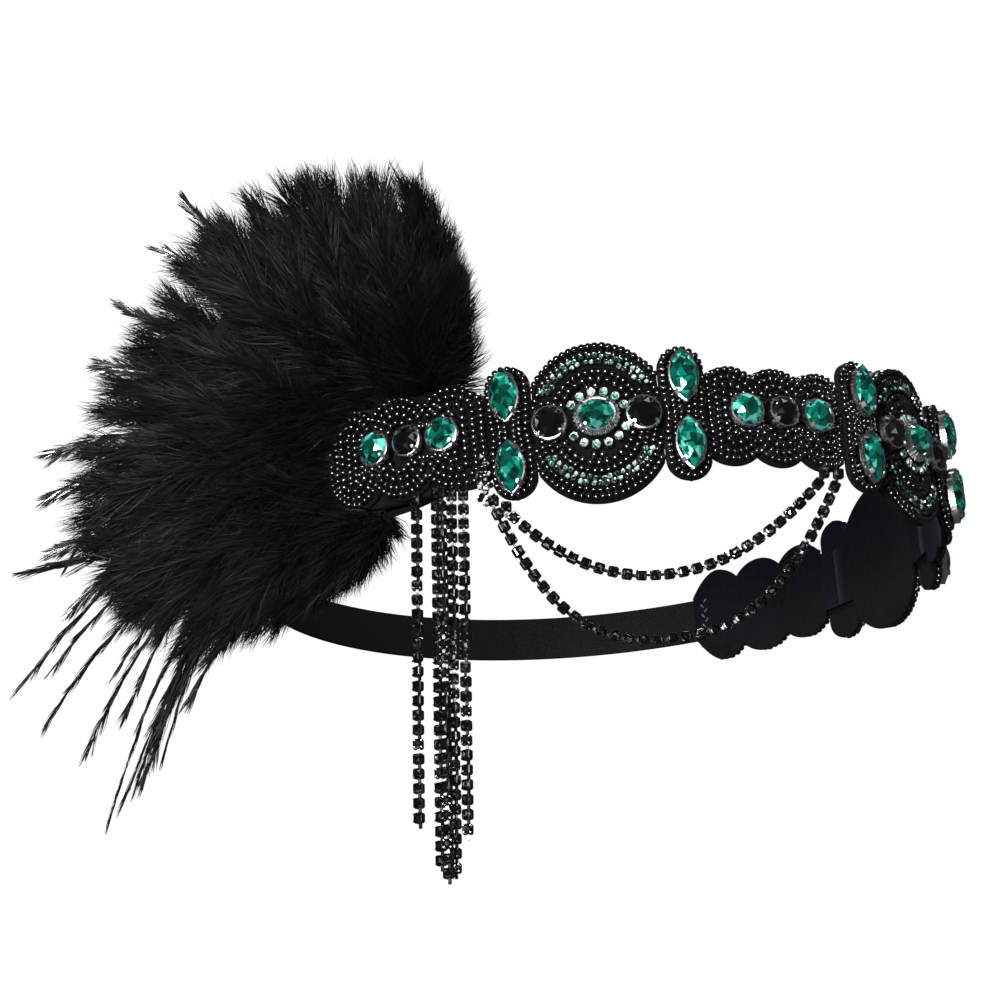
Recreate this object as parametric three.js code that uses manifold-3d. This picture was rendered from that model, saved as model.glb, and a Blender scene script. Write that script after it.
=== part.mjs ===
// A beaded flapper headband with a feather plume, at its real size, in millimetres.
// Felt panels covered with black beads make the front of the band. Narrow plaques with two pointed
// stones cover their joints, and an elastic runs round the back. The plume, a fringe of rhinestone
// chains and two hanging swags are on the wearer's right.
// The origin is the middle of the head opening. +Z is up and the centre medallion faces -Y.
import * as THREE from "three";
import { mergeVertices } from "three/addons/utils/BufferGeometryUtils.js";
import Module from "manifold-3d";

const wasm = await Module();
wasm.setup();

// The head opening, inside the felt. Worn, the band sits higher on the brow than at the nape.
const HEAD_BREADTH = 167;
const HEAD_LENGTH = 181;
const WORN_TILT = THREE.MathUtils.degToRad(6);

// Gaps between pieces that lie on each other, and between neighbours along the band.
const SEAT_GAP = 0.3;

// Layers of the band, outwards from the head.
const FELT = 1.2;
const BEADS = 2.2;
const EDGE_BEADS = 1.4;
const EDGE_ROUND = 0.8;

// Panels. Lengths run along the band, and heights across it.
const MEDALLION_LENGTH = 30;
const MEDALLION_OVAL = 36;
const MEDALLION_HEIGHT = 40;
const MEDALLION_RIDGE = 0.6;
const LINK_LENGTH = 36;
const LINK_HEIGHT = 24.6;
const END_LENGTH = 42;
const END_HEIGHT = 26;
const SCALLOP_RADIUS = 9;
const TONGUE_HEIGHT = 16;
const FLAT_TOP = 11;

// Plaques over the joints.
const PLAQUE_WIDTH = 10.4;
const PLAQUE_HEIGHT = 33.6;
const PLAQUE_WAIST = 0.9;
const PLAQUE_THICK = 2.8;
const PLAQUE_FELT = 1;

// Stones, each measured with its setting.
const ROUND_STONE = 8.6;
const LINK_BLACK_STONE = 7.8;
const MEDALLION_BLACK_STONE = 8.6;
const OVAL_STONE = { across: 10, high: 8.6 };
const POINTED_STONE = { long: 13, wide: 7 };
const SETTING_DEPTH = 1.7;
const STONE_DEPTH = 3.5;
const OVAL_STONE_DEPTH = 4.4;
const LINK_STONE_PITCH = 9.2;
const MEDALLION_STONE_PITCH = 10.8;
const POINTED_STONE_PITCH = 16.6;

// Elastic, and the felts on both sides of the plume's root.
const ELASTIC = { width: 12, thick: 1, tuck: 8 };
const PATCH = { length: 42, height: 27, thick: 1 };
const ROOT_PAD = { length: 22, height: 19, thick: 2 };
const FEATHER_FELT = { length: 45, height: 33, thick: 1.2, squareness: 3 };

// Rhinestone chains, each drawn as a plain round tube of the chain's own width.
const CHAIN_WIDTH = 2.5;
const CHAIN_SIDES = 8;
const CHAIN_STEP = 7;

// Fringe strands: how far each hangs before the middle of the end panel, how far it stands off
// the felt, and its length.
const FRINGE = [
  { ahead: 1.4, off: 0, length: 84 },
  { ahead: 7.4, off: 0, length: 96 },
  { ahead: 9.6, off: 1.8, length: 98 },
  { ahead: 11.8, off: 0, length: 96 },
  { ahead: 15, off: 0, length: 87 },
];

// Swags: how far the rear end sits behind the middle of the rear plaque, how far the front end
// sits ahead of the middle of the link panel, and how deep the chain hangs.
const SWAGS = [
  { name: "swag_inner", rear: 2.6, front: 10.4, sag: 22 },
  { name: "swag_outer", rear: 5.6, front: 14.6, sag: 38.5 },
];
const SWAG_DROP = 2;
const SWAG_ABOVE = 2.9;
const SWAG_POINTS = 14;

// Locks of the plume. Angle is measured at the root from straight back (0) to straight up (90).
// Reach is from the root to the tip, and flare is how far the lock leans away from the head.
const PLUME_REACH = 84;
const PLUME_HALF_WIDTH = 9;
const PLUME_HALF_THICK = 11;
const LOCKS = [
  { angle: 130, reach: 0.47, wide: 0.62, thick: 0.4, flare: 8, droop: 0 },
  { angle: 119, reach: 0.63, wide: 0.75, thick: 0.7, flare: 12, droop: 0 },
  { angle: 109, reach: 0.8, wide: 0.9, thick: 0.85, flare: 15, droop: 0 },
  { angle: 98, reach: 0.82, wide: 1, thick: 0.95, flare: 16, droop: 0 },
  { angle: 88, reach: 0.86, wide: 1, thick: 1, flare: 17, droop: 0 },
  { angle: 78, reach: 0.9, wide: 1, thick: 1.05, flare: 18, droop: 0 },
  { angle: 68, reach: 0.93, wide: 1.05, thick: 1.1, flare: 19, droop: 0.01 },
  { angle: 57, reach: 0.94, wide: 1.05, thick: 1.15, flare: 20, droop: 0.02 },
  { angle: 45, reach: 0.92, wide: 1.05, thick: 1.2, flare: 20, droop: 0.04 },
  { angle: 34, reach: 0.95, wide: 1.05, thick: 1.2, flare: 20, droop: 0.05 },
  { angle: 22, reach: 0.99, wide: 1.05, thick: 1.2, flare: 20, droop: 0.05 },
  { angle: 10, reach: 1.04, wide: 1, thick: 1.15, flare: 19, droop: 0.06 },
  { angle: -1, reach: 1.03, wide: 1, thick: 1.1, flare: 18, droop: 0.07 },
  { angle: -12, reach: 0.97, wide: 1, thick: 1.05, flare: 17, droop: 0.08 },
  { angle: -22, reach: 0.92, wide: 0.95, thick: 0.95, flare: 16, droop: 0.08 },
  { angle: -32, reach: 0.86, wide: 0.85, thick: 0.8, flare: 14, droop: 0.1 },
  { angle: -42, reach: 0.58, wide: 0.7, thick: 0.55, flare: 10, droop: 0.06 },
  { angle: -55, reach: 0.36, wide: 0.5, thick: 0.35, flare: 4, droop: 0.02 },
];

// Long thin hackles that leave the locks and droop. Start is where each leaves, as a share of its
// length.
const HACKLE_HALF_WIDTH = 2.6;
const HACKLE_HALF_THICK = 1.6;
const HACKLES = [
  { angle: -4, reach: 1.12, start: 0.55, flare: 19, droop: 0.1 },
  { angle: -17, reach: 1.25, start: 0.45, flare: 17, droop: 0.2 },
  { angle: -23, reach: 1.2, start: 0.45, flare: 16, droop: 0.2 },
  { angle: -30, reach: 1.15, start: 0.4, flare: 15, droop: 0.22 },
  { angle: -37, reach: 1.16, start: 0.35, flare: 14, droop: 0.3 },
];

// Places along the band, from the middle of the centre medallion towards the wearer's right.
const JOINT_STEP = PLAQUE_WIDTH + 2 * SEAT_GAP;
const FRONT_PLAQUE = MEDALLION_LENGTH / 2 + JOINT_STEP / 2;
const LINK = FRONT_PLAQUE + JOINT_STEP / 2 + LINK_LENGTH / 2;
const MIDDLE_PLAQUE = LINK + LINK_LENGTH / 2 + JOINT_STEP / 2;
const SIDE_MEDALLION = MIDDLE_PLAQUE + JOINT_STEP / 2 + MEDALLION_LENGTH / 2;
const REAR_PLAQUE = SIDE_MEDALLION + MEDALLION_LENGTH / 2 + JOINT_STEP / 2;
const END_START = REAR_PLAQUE + JOINT_STEP / 2;
const END_PANEL = END_START + END_LENGTH / 2;

// Heights above the head of the stack under the plume.
const ELASTIC_FLOOR = PATCH.thick + SEAT_GAP;
const PAD_FLOOR = PATCH.thick + SEAT_GAP;
const FEATHER_LIFT = PAD_FLOOR + ROOT_PAD.thick + SEAT_GAP;
const TOP = FELT + BEADS;

const MATERIALS = {
  beads: new THREE.MeshStandardMaterial({ color: 0x0c0c10, roughness: 0.18, metalness: 0.1 }),
  felt: new THREE.MeshStandardMaterial({ color: 0x0d0d14, roughness: 0.95, metalness: 0 }),
  green: new THREE.MeshStandardMaterial({ color: 0x0c8a66, roughness: 0.08, metalness: 0.1 }),
  black: new THREE.MeshStandardMaterial({ color: 0x08080a, roughness: 0.06, metalness: 0.1 }),
  chain: new THREE.MeshStandardMaterial({ color: 0x1a1a1d, roughness: 0.25, metalness: 0.8 }),
  elastic: new THREE.MeshStandardMaterial({ color: 0x121217, roughness: 0.8, metalness: 0 }),
  feather: new THREE.MeshStandardMaterial({ color: 0x100f0d, roughness: 0.9, metalness: 0 }),
};

// The head's oval as a table of distance along it against angle, so that pieces can be set out flat.
const OVAL_STEPS = 1440;
const OVAL_LENGTHS = [0];
const ovalAngle = (step) => (step * 2 * Math.PI) / OVAL_STEPS;
const ovalPoint = (angle) =>
  new THREE.Vector3((-HEAD_BREADTH / 2) * Math.sin(angle), (-HEAD_LENGTH / 2) * Math.cos(angle), 0);
for (let step = 1; step <= OVAL_STEPS; step++) {
  const run = ovalPoint(ovalAngle(step)).distanceTo(ovalPoint(ovalAngle(step - 1)));
  OVAL_LENGTHS.push(OVAL_LENGTHS[step - 1] + run);
}
const OVAL_LENGTH = OVAL_LENGTHS[OVAL_STEPS];

// The oval's angle at a distance along the band, which may be negative on the wearer's left.
function angleAt(along) {
  const wrapped = ((along % OVAL_LENGTH) + OVAL_LENGTH) % OVAL_LENGTH;
  let low = 0;
  let high = OVAL_STEPS;
  while (high - low > 1) {
    const middle = (low + high) >> 1;
    if (OVAL_LENGTHS[middle] <= wrapped) low = middle;
    else high = middle;
  }
  const share = (wrapped - OVAL_LENGTHS[low]) / (OVAL_LENGTHS[high] - OVAL_LENGTHS[low]);
  return ovalAngle(low + share);
}

// Directions at a distance along the band: out from the head, and towards the wearer's right.
function outwards(along) {
  const angle = angleAt(along);
  const x = -Math.sin(angle) / HEAD_BREADTH;
  const y = -Math.cos(angle) / HEAD_LENGTH;
  return new THREE.Vector3(x, y, 0).normalize();
}
const UP = new THREE.Vector3(0, 0, 1);
const forwards = (along) => outwards(along).cross(UP);

// A point of the band: distance along it, height across it, and height above the head.
function place(along, across, above) {
  return ovalPoint(angleAt(along)).addScaledVector(outwards(along), above).setZ(across);
}

// How far the plume's root lifts the felt and the beaded panel in front of it, after a short slope.
const SLOPE_LENGTH = END_LENGTH / 6;
function featherLift(along) {
  return FEATHER_LIFT * THREE.MathUtils.clamp((along - END_START) / SLOPE_LENGTH, 0, 1);
}

const repeat = (count, make) => Array.from({ length: count }, (_, index) => make(index));

// A closed body through rings of points, with a flat cap on each end.
function loft(rings) {
  const sides = rings[0].length;
  const positions = rings.flat().flatMap((point) => [point.x, point.y, point.z]);
  const triangles = [];
  for (let ring = 0; ring + 1 < rings.length; ring++) {
    for (let side = 0; side < sides; side++) {
      const here = ring * sides + side;
      const next = ring * sides + ((side + 1) % sides);
      triangles.push(here, next, next + sides, here, next + sides, here + sides);
    }
  }
  const last = (rings.length - 1) * sides;
  for (let side = 1; side + 1 < sides; side++) {
    triangles.push(0, side + 1, side, last, last + side, last + side + 1);
  }
  const geometry = new THREE.BufferGeometry();
  geometry.setAttribute("position", new THREE.Float32BufferAttribute(positions, 3));
  geometry.setIndex(volumeOf(positions, triangles) < 0 ? triangles.reverse() : triangles);
  return geometry;
}

function volumeOf(positions, triangles) {
  const corner = (index) => new THREE.Vector3().fromArray(positions, 3 * triangles[index]);
  let sum = 0;
  for (let index = 0; index < triangles.length; index += 3) {
    sum += corner(index).dot(corner(index + 1).cross(corner(index + 2)));
  }
  return sum / 6;
}

// Geometry to a manifold-3d solid and back.
function solidOf(geometry) {
  const bare = geometry.clone();
  bare.deleteAttribute("normal");
  bare.deleteAttribute("uv");
  const merged = mergeVertices(bare, 1e-3);
  const mesh = new wasm.Mesh({
    numProp: 3,
    vertProperties: new Float32Array(merged.attributes.position.array),
    triVerts: new Uint32Array(merged.index.array),
  });
  return new wasm.Manifold(mesh);
}

function geometryOf(solid) {
  const mesh = solid.getMesh();
  const geometry = new THREE.BufferGeometry();
  geometry.setAttribute("position", new THREE.BufferAttribute(mesh.vertProperties, mesh.numProp));
  geometry.setIndex(new THREE.BufferAttribute(mesh.triVerts, 1));
  return geometry;
}

// The outermost shell of a geometry, which leaves out pockets closed in between fused bodies.
function outerShell(geometry) {
  const positions = geometry.attributes.position.array;
  const index = Array.from(geometry.index.array);
  const parent = Array.from({ length: positions.length / 3 }, (_, vertex) => vertex);
  const find = (vertex) => {
    while (parent[vertex] !== vertex) vertex = parent[vertex] = parent[parent[vertex]];
    return vertex;
  };
  for (let at = 0; at < index.length; at += 3) {
    parent[find(index[at])] = find(index[at + 1]);
    parent[find(index[at + 1])] = find(index[at + 2]);
  }
  const shells = new Map();
  for (let at = 0; at < index.length; at += 3) {
    const root = find(index[at]);
    if (!shells.has(root)) shells.set(root, []);
    shells.get(root).push(...index.slice(at, at + 3));
  }
  const largest = [...shells.values()].sort(
    (one, other) => volumeOf(positions, other) - volumeOf(positions, one),
  )[0];
  const shell = geometry.clone();
  shell.setIndex(largest);
  return shell;
}

const band = new THREE.Group();
band.rotation.x = -WORN_TILT;
band.updateMatrixWorld(true);
const headband = new THREE.Group();
headband.add(band);

function addMesh(group, name, geometry, material) {
  const mesh = new THREE.Mesh(geometry, material);
  mesh.name = name;
  group.add(mesh);
  return mesh;
}

// Sections across the band, as [across, above] corners: bare felt, and felt under a bead field.
const flatSection = (half, thick, corners) => [
  [-half, 0],
  [half, 0],
  ...repeat(corners, (index) => [half * (1 - (2 * index) / (corners - 1)), thick]),
];

function beadSection(half, ridge) {
  const outer = half - EDGE_ROUND;
  const side = [
    [half, FELT],
    [outer, FELT + EDGE_BEADS],
  ];
  if (ridge !== null) {
    // A raised row of rhinestones follows the medallion's edge.
    side.push([0.86 * half, FELT + 0.8 * BEADS]);
    side.push([0.84 * half, FELT + 0.8 * BEADS + ridge]);
    side.push([0.68 * half, FELT + 0.9 * BEADS + ridge]);
    side.push([0.66 * half, FELT + 0.9 * BEADS]);
  }
  side.push([FLAT_TOP / 2, TOP]);
  const mirrored = side.map(([across, above]) => [-across, above]).reverse();
  return [[-half, 0], [half, 0], ...side, ...mirrored];
}

// A felt panel with a bead field. Where a plaque covers its end, bare felt runs on under it.
// rows: the panel's outline as { along, half, ridge }.
function beadedPanel(centre, rows, tongueBefore, tongueAfter, floor = () => 0) {
  const sections = rows.map(({ along, half, ridge = null }) => ({
    along,
    section: beadSection(half, ridge),
  }));
  const corners = sections[0].section.length - 2;
  const tongue = (along) => ({ along, section: flatSection(TONGUE_HEIGHT / 2, FELT, corners) });
  const step = 0.05;
  const tongueRun = JOINT_STEP / 2 - SEAT_GAP / 2;
  const first = rows[0].along;
  const last = rows[rows.length - 1].along;
  if (tongueBefore) sections.unshift(tongue(first - tongueRun), tongue(first - step));
  if (tongueAfter) sections.push(tongue(last + step), tongue(last + tongueRun));
  return loft(
    sections.map(({ along, section }) =>
      section.map(([across, above]) => {
        const at = centre + along;
        return place(at, across, above + floor(at));
      }),
    ),
  );
}

// A medallion's outline is an oval whose ends lie under the plaques.
const MEDALLION_STATIONS = 11;
const medallionRows = repeat(MEDALLION_STATIONS, (index) => {
  const widest = Math.asin(MEDALLION_LENGTH / MEDALLION_OVAL);
  const turn = widest * ((2 * index) / (MEDALLION_STATIONS - 1) - 1);
  const fade = Math.cos((Math.PI / 2) * (turn / widest));
  return {
    along: (MEDALLION_OVAL / 2) * Math.sin(turn),
    half: (MEDALLION_HEIGHT / 2) * Math.cos(turn),
    ridge: MEDALLION_RIDGE * Math.sqrt(Math.max(fade, 0.02)),
  };
});

// A link panel's edge is three round scallops, top and bottom.
const SCALLOPS = 3;
const STATIONS_PER_SCALLOP = 4;
function scallopHalf(along, length, height) {
  const pitch = length / SCALLOPS;
  const offset = along - pitch * Math.round(along / pitch);
  const rise = Math.sqrt(Math.max(SCALLOP_RADIUS ** 2 - offset ** 2, 0));
  return height / 2 - SCALLOP_RADIUS + rise;
}
function linkRows(length, height) {
  const count = SCALLOPS * STATIONS_PER_SCALLOP;
  return repeat(count + 1, (index) => {
    const along = length * (index / count - 0.5);
    return { along, half: scallopHalf(along, length, height) };
  });
}

// An end panel is a link panel whose free end is rounded off.
const END_ROUND = 9;
const END_BLUNT = 0.72;
function endRows(freeSide) {
  return linkRows(END_LENGTH, END_HEIGHT).map(({ along, half }) => {
    const past = freeSide * along - (END_LENGTH / 2 - END_ROUND);
    const share = THREE.MathUtils.clamp(past / END_ROUND, 0, 1);
    return { along, half: half * (1 - (1 - END_BLUNT) * share * share) };
  });
}

function addMedallions() {
  const places = { medallion_centre: 0, medallion_right: SIDE_MEDALLION, medallion_left: -SIDE_MEDALLION };
  for (const [name, centre] of Object.entries(places)) {
    addMesh(band, name, beadedPanel(centre, medallionRows, true, true), MATERIALS.beads);
  }
}

function addLinkPanels() {
  const rows = linkRows(LINK_LENGTH, LINK_HEIGHT);
  addMesh(band, "link_panel_right", beadedPanel(LINK, rows, true, true), MATERIALS.beads);
  addMesh(band, "link_panel_left", beadedPanel(-LINK, rows, true, true), MATERIALS.beads);
}

// The right end panel lies on the feather felt. The left one has a pocket for the elastic.
function addEndPanels() {
  const floor = (along) => featherLift(along) + FELT + SEAT_GAP;
  const right = beadedPanel(END_PANEL, endRows(1), false, false, floor);
  addMesh(band, "end_panel_right", right, MATERIALS.beads);
  const left = solidOf(beadedPanel(-END_PANEL, endRows(-1), false, true));
  const pocket = strip(
    OVAL_LENGTH - END_PANEL - END_LENGTH / 2 - SEAT_GAP,
    OVAL_LENGTH - END_PANEL - END_LENGTH / 2 + ELASTIC.tuck + SEAT_GAP,
    ELASTIC.width / 2 + SEAT_GAP,
    ELASTIC_FLOOR - SEAT_GAP,
    ELASTIC.thick + 2 * SEAT_GAP,
  );
  addMesh(band, "end_panel_left", geometryOf(left.subtract(solidOf(pocket))), MATERIALS.beads);
}

// A flat strip bent round the head, such as the elastic.
const STRIP_STEP = 8;
function strip(start, end, half, floor, thick) {
  const steps = Math.max(2, Math.ceil((end - start) / STRIP_STEP));
  return loft(
    repeat(steps + 1, (index) => {
      const along = start + ((end - start) * index) / steps;
      return flatSection(half, thick, 2).map(([across, above]) => place(along, across, floor + above));
    }),
  );
}

function addElastic() {
  const start = END_PANEL + ROOT_PAD.length / 2 + SEAT_GAP;
  const end = OVAL_LENGTH - END_PANEL - END_LENGTH / 2 + ELASTIC.tuck;
  const geometry = strip(start, end, ELASTIC.width / 2, ELASTIC_FLOOR, ELASTIC.thick);
  addMesh(band, "elastic_band", geometry, MATERIALS.elastic);
}

// A rounded felt, set out along the band. Squareness 2 is an oval, and more is squarer.
const FELT_STATIONS = 11;
const ovalHalf = (share, height, squareness) =>
  (height / 2) * (1 - Math.abs(share) ** squareness) ** (1 / squareness);
function feltRows({ length, height, squareness = 2.4 }) {
  const blunt = 0.985;
  return repeat(FELT_STATIONS, (index) => {
    const share = blunt * Math.sin((Math.PI / 2) * ((2 * index) / (FELT_STATIONS - 1) - 1));
    return { along: (share * length) / 2, half: ovalHalf(share, height, squareness) };
  });
}

const FEATHER_FELT_CENTRE = END_START + FEATHER_FELT.length / 2;
function addFeltsAndPad() {
  const section = (rows, centre, thick, floor) =>
    rows.map(({ along, half }) =>
      flatSection(half, thick, 2).map(([across, above]) =>
        place(centre + along, across, floor(centre + along) + above),
      ),
    );
  const patch = section(feltRows(PATCH), END_PANEL + 5, PATCH.thick, () => 0);
  addMesh(band, "inner_patch", loft(patch), MATERIALS.felt);

  // The feather felt has a tongue under the rear plaque, and stations at both ends of its slope.
  const half = TONGUE_HEIGHT / 2;
  const { height, squareness } = FEATHER_FELT;
  const slopeEnd = END_START + SLOPE_LENGTH - FEATHER_FELT_CENTRE;
  const slopeShare = (2 * slopeEnd) / FEATHER_FELT.length;
  const rows = [
    { along: REAR_PLAQUE + SEAT_GAP / 2 - FEATHER_FELT_CENTRE, half },
    { along: END_START - FEATHER_FELT_CENTRE, half },
    { along: slopeEnd, half: ovalHalf(slopeShare, height, squareness) },
    ...feltRows(FEATHER_FELT).filter(({ along }) => along > slopeEnd + 1),
  ];
  const felt = section(rows, FEATHER_FELT_CENTRE, FEATHER_FELT.thick, featherLift);
  addMesh(band, "feather_felt", loft(felt), MATERIALS.felt);
}

// Plaques stand across the band, over the tongues of the two panels that meet there.
const PLAQUE_PLACES = [
  REAR_PLAQUE,
  MIDDLE_PLAQUE,
  FRONT_PLAQUE,
  -FRONT_PLAQUE,
  -MIDDLE_PLAQUE,
  -REAR_PLAQUE,
];
const PLAQUE_FLOOR = FELT + SEAT_GAP;
function plaqueHalf(across) {
  const round = PLAQUE_WIDTH / 2;
  const past = Math.max(Math.abs(across) - (PLAQUE_HEIGHT / 2 - round), 0);
  const waist = PLAQUE_WAIST + (1 - PLAQUE_WAIST) * Math.min(Math.abs(across) / 4, 1);
  return waist * Math.sqrt(round ** 2 - past ** 2);
}
function addPlaques() {
  const round = PLAQUE_WIDTH / 2;
  const straight = PLAQUE_HEIGHT / 2 - round;
  const upper = [0, 3.6, 8, straight].concat(
    [25, 50, 78].map((turn) => straight + round * Math.sin(THREE.MathUtils.degToRad(turn))),
  );
  const stations = [...upper.slice(1).map((across) => -across).reverse(), ...upper];
  PLAQUE_PLACES.forEach((centre, index) => {
    const rings = stations.map((across) => {
      const half = plaqueHalf(across);
      const inner = Math.max(half - EDGE_ROUND, half / 2);
      const corners = [
        [-half, 0],
        [half, 0],
        [half, PLAQUE_FELT],
        [inner, PLAQUE_THICK],
        [-inner, PLAQUE_THICK],
        [-half, PLAQUE_FELT],
      ];
      return corners.map(([along, above]) => place(centre + along, across, PLAQUE_FLOOR + above));
    });
    addMesh(band, `plaque_${index + 1}`, loft(rings), MATERIALS.beads);
  });
}

// A cut stone in its setting, from an outline of points: a straight wall, then a crown of facets
// up to a flat table.
function cutStone(outline, depth, tableShare) {
  const ring = (share, height) =>
    outline.map((point) => new THREE.Vector3(point.x * share, point.y * share, height));
  return loft([ring(1, 0), ring(1, SETTING_DEPTH), ring(0.9, SETTING_DEPTH + 0.25), ring(tableShare, depth)]);
}
const ovalOutline = (across, high, sides) =>
  repeat(sides, (index) => {
    const turn = ((index + 0.5) * 2 * Math.PI) / sides;
    return new THREE.Vector2((across / 2) * Math.cos(turn), (high / 2) * Math.sin(turn));
  });
// A pointed oval is two equal arcs that meet at its tips, which stand up and down.
function pointedOutline({ long, wide }) {
  const arcSteps = 5;
  const radius = (long ** 2 + wide ** 2) / (4 * wide);
  const halfTurn = Math.asin(long / 2 / radius);
  const arc = (side) =>
    repeat(arcSteps, (index) => {
      const turn = halfTurn * ((2 * index) / arcSteps - 1);
      const out = wide / 2 - radius + radius * Math.cos(turn);
      return new THREE.Vector2(side * out, side * radius * Math.sin(turn));
    });
  return [...arc(1), ...arc(-1)];
}

// A stone sits on the band with its back flat and its table facing out.
function addStone(name, outline, depth, tableShare, material, at) {
  const { along, across, above } = at;
  const mesh = addMesh(band, name, cutStone(outline, depth, tableShare), material);
  mesh.position.copy(place(along, across, above));
  const facing = new THREE.Matrix4().makeBasis(forwards(along).negate(), UP, outwards(along));
  mesh.quaternion.setFromRotationMatrix(facing);
}

const ROUND_SIDES = 12;
const BLACK_SIDES = 8;
function eightSided(acrossFlats) {
  const acrossCorners = acrossFlats / Math.cos(Math.PI / BLACK_SIDES);
  return ovalOutline(acrossCorners, acrossCorners, BLACK_SIDES);
}
function addPanelStones() {
  const panels = [
    { centre: END_PANEL, floor: FEATHER_LIFT + FELT + SEAT_GAP },
    { centre: LINK, floor: 0 },
    { centre: -LINK, floor: 0 },
    { centre: -END_PANEL, floor: 0 },
  ];
  const round = ovalOutline(ROUND_STONE, ROUND_STONE, ROUND_SIDES);
  const black = eightSided(LINK_BLACK_STONE);
  panels.forEach(({ centre, floor }, index) => {
    const at = (along) => ({ along, across: 0, above: floor + TOP + SEAT_GAP });
    const rear = at(centre + LINK_STONE_PITCH);
    const front = at(centre - LINK_STONE_PITCH);
    addStone(`round_stone_${2 * index + 1}`, round, STONE_DEPTH, 0.55, MATERIALS.green, rear);
    addStone(`round_stone_${2 * index + 2}`, round, STONE_DEPTH, 0.55, MATERIALS.green, front);
    addStone(`black_stone_${index + 1}`, black, STONE_DEPTH, 0.5, MATERIALS.black, at(centre));
  });
}

function addMedallionStones() {
  const oval = ovalOutline(OVAL_STONE.across, OVAL_STONE.high, ROUND_SIDES);
  const black = eightSided(MEDALLION_BLACK_STONE);
  [SIDE_MEDALLION, 0, -SIDE_MEDALLION].forEach((centre, index) => {
    const at = (along) => ({ along, across: 0, above: TOP + SEAT_GAP });
    const rear = at(centre + MEDALLION_STONE_PITCH);
    const front = at(centre - MEDALLION_STONE_PITCH);
    addStone(`oval_stone_${index + 1}`, oval, OVAL_STONE_DEPTH, 0.55, MATERIALS.green, at(centre));
    addStone(`black_stone_${2 * index + 5}`, black, STONE_DEPTH, 0.5, MATERIALS.black, rear);
    addStone(`black_stone_${2 * index + 6}`, black, STONE_DEPTH, 0.5, MATERIALS.black, front);
  });
}

function addPointedStones() {
  const outline = pointedOutline(POINTED_STONE);
  PLAQUE_PLACES.forEach((along, index) => {
    const above = PLAQUE_FLOOR + PLAQUE_THICK + SEAT_GAP;
    const upper = { along, across: POINTED_STONE_PITCH / 2, above };
    const lower = { along, across: -POINTED_STONE_PITCH / 2, above };
    addStone(`pointed_stone_${2 * index + 1}`, outline, STONE_DEPTH, 0.5, MATERIALS.green, upper);
    addStone(`pointed_stone_${2 * index + 2}`, outline, STONE_DEPTH, 0.5, MATERIALS.green, lower);
  });
}

// A chain's tube along a curve.
function chainTube(curve) {
  const section = new THREE.Shape(
    ovalOutline(CHAIN_WIDTH, CHAIN_WIDTH, CHAIN_SIDES).map((point) => point.clone()),
  );
  const steps = Math.ceil(curve.getLength() / CHAIN_STEP);
  return new THREE.ExtrudeGeometry(section, { steps, bevelEnabled: false, extrudePath: curve });
}

// Fringe strands hang straight down in front of the feather felt, from just under the bead field.
function addFringe() {
  FRINGE.forEach(({ ahead, off, length }, index) => {
    const along = END_PANEL - ahead;
    const beadEdge = scallopHalf(-ahead, END_LENGTH, END_HEIGHT);
    const above = featherLift(along) + FEATHER_FELT.thick + 2 * SEAT_GAP + CHAIN_WIDTH / 2 + off;
    const across = -beadEdge - 2 * SEAT_GAP - (CHAIN_WIDTH / 2) * Math.tan(WORN_TILT);
    const top = band.localToWorld(place(along, across, above));
    const bottom = top.clone().addScaledVector(UP, -length);
    const tube = chainTube(new THREE.LineCurve3(top, bottom));
    addMesh(headband, `fringe_strand_${index + 1}`, tube, MATERIALS.chain);
  });
}

// Swags hang in a parabola. The rear ends start under the rear plaque's round foot, and the front
// ends under the link panel's edge.
function addSwags() {
  for (const { name, rear, front, sag } of SWAGS) {
    const round = PLAQUE_WIDTH / 2;
    const inset = Math.max(rear - CHAIN_WIDTH / 2, 0);
    const foot = PLAQUE_HEIGHT / 2 - round + Math.sqrt(round ** 2 - inset ** 2);
    const rearEnd = place(REAR_PLAQUE + rear, -foot - 2 * SEAT_GAP, SWAG_ABOVE);
    const edge = scallopHalf(-front, LINK_LENGTH, LINK_HEIGHT);
    const frontEnd = place(LINK - front, -edge - 2 * SEAT_GAP, SWAG_ABOVE);
    const ends = [rearEnd, frontEnd].map((end) => band.localToWorld(end));
    const hang = ends.map((end) => end.clone().addScaledVector(UP, -SWAG_DROP));
    const points = repeat(SWAG_POINTS + 1, (index) => {
      const share = index / SWAG_POINTS;
      const drop = (sag - SWAG_DROP) * 4 * share * (1 - share);
      return hang[0].clone().lerp(hang[1], share).addScaledVector(UP, -drop);
    });
    const curve = new THREE.CatmullRomCurve3([ends[0], ...points, ends[1]]);
    addMesh(headband, name, chainTube(curve), MATERIALS.chain);
  }
}

// Where a lock leaves the feather felt, measured from the root in the lock's own direction.
function feltEdge(angle) {
  const forward = FEATHER_FELT_CENTRE - END_PANEL;
  let reach = FEATHER_FELT.height / 2;
  for (let pass = 0; pass < 200; pass++) {
    const share = (2 * (reach * Math.cos(angle) - forward)) / FEATHER_FELT.length;
    if (Math.abs(share) >= 1) break;
    const half = ovalHalf(share, FEATHER_FELT.height, FEATHER_FELT.squareness);
    if (Math.abs(reach * Math.sin(angle)) > half) break;
    reach += 0.25;
  }
  return reach;
}

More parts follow.
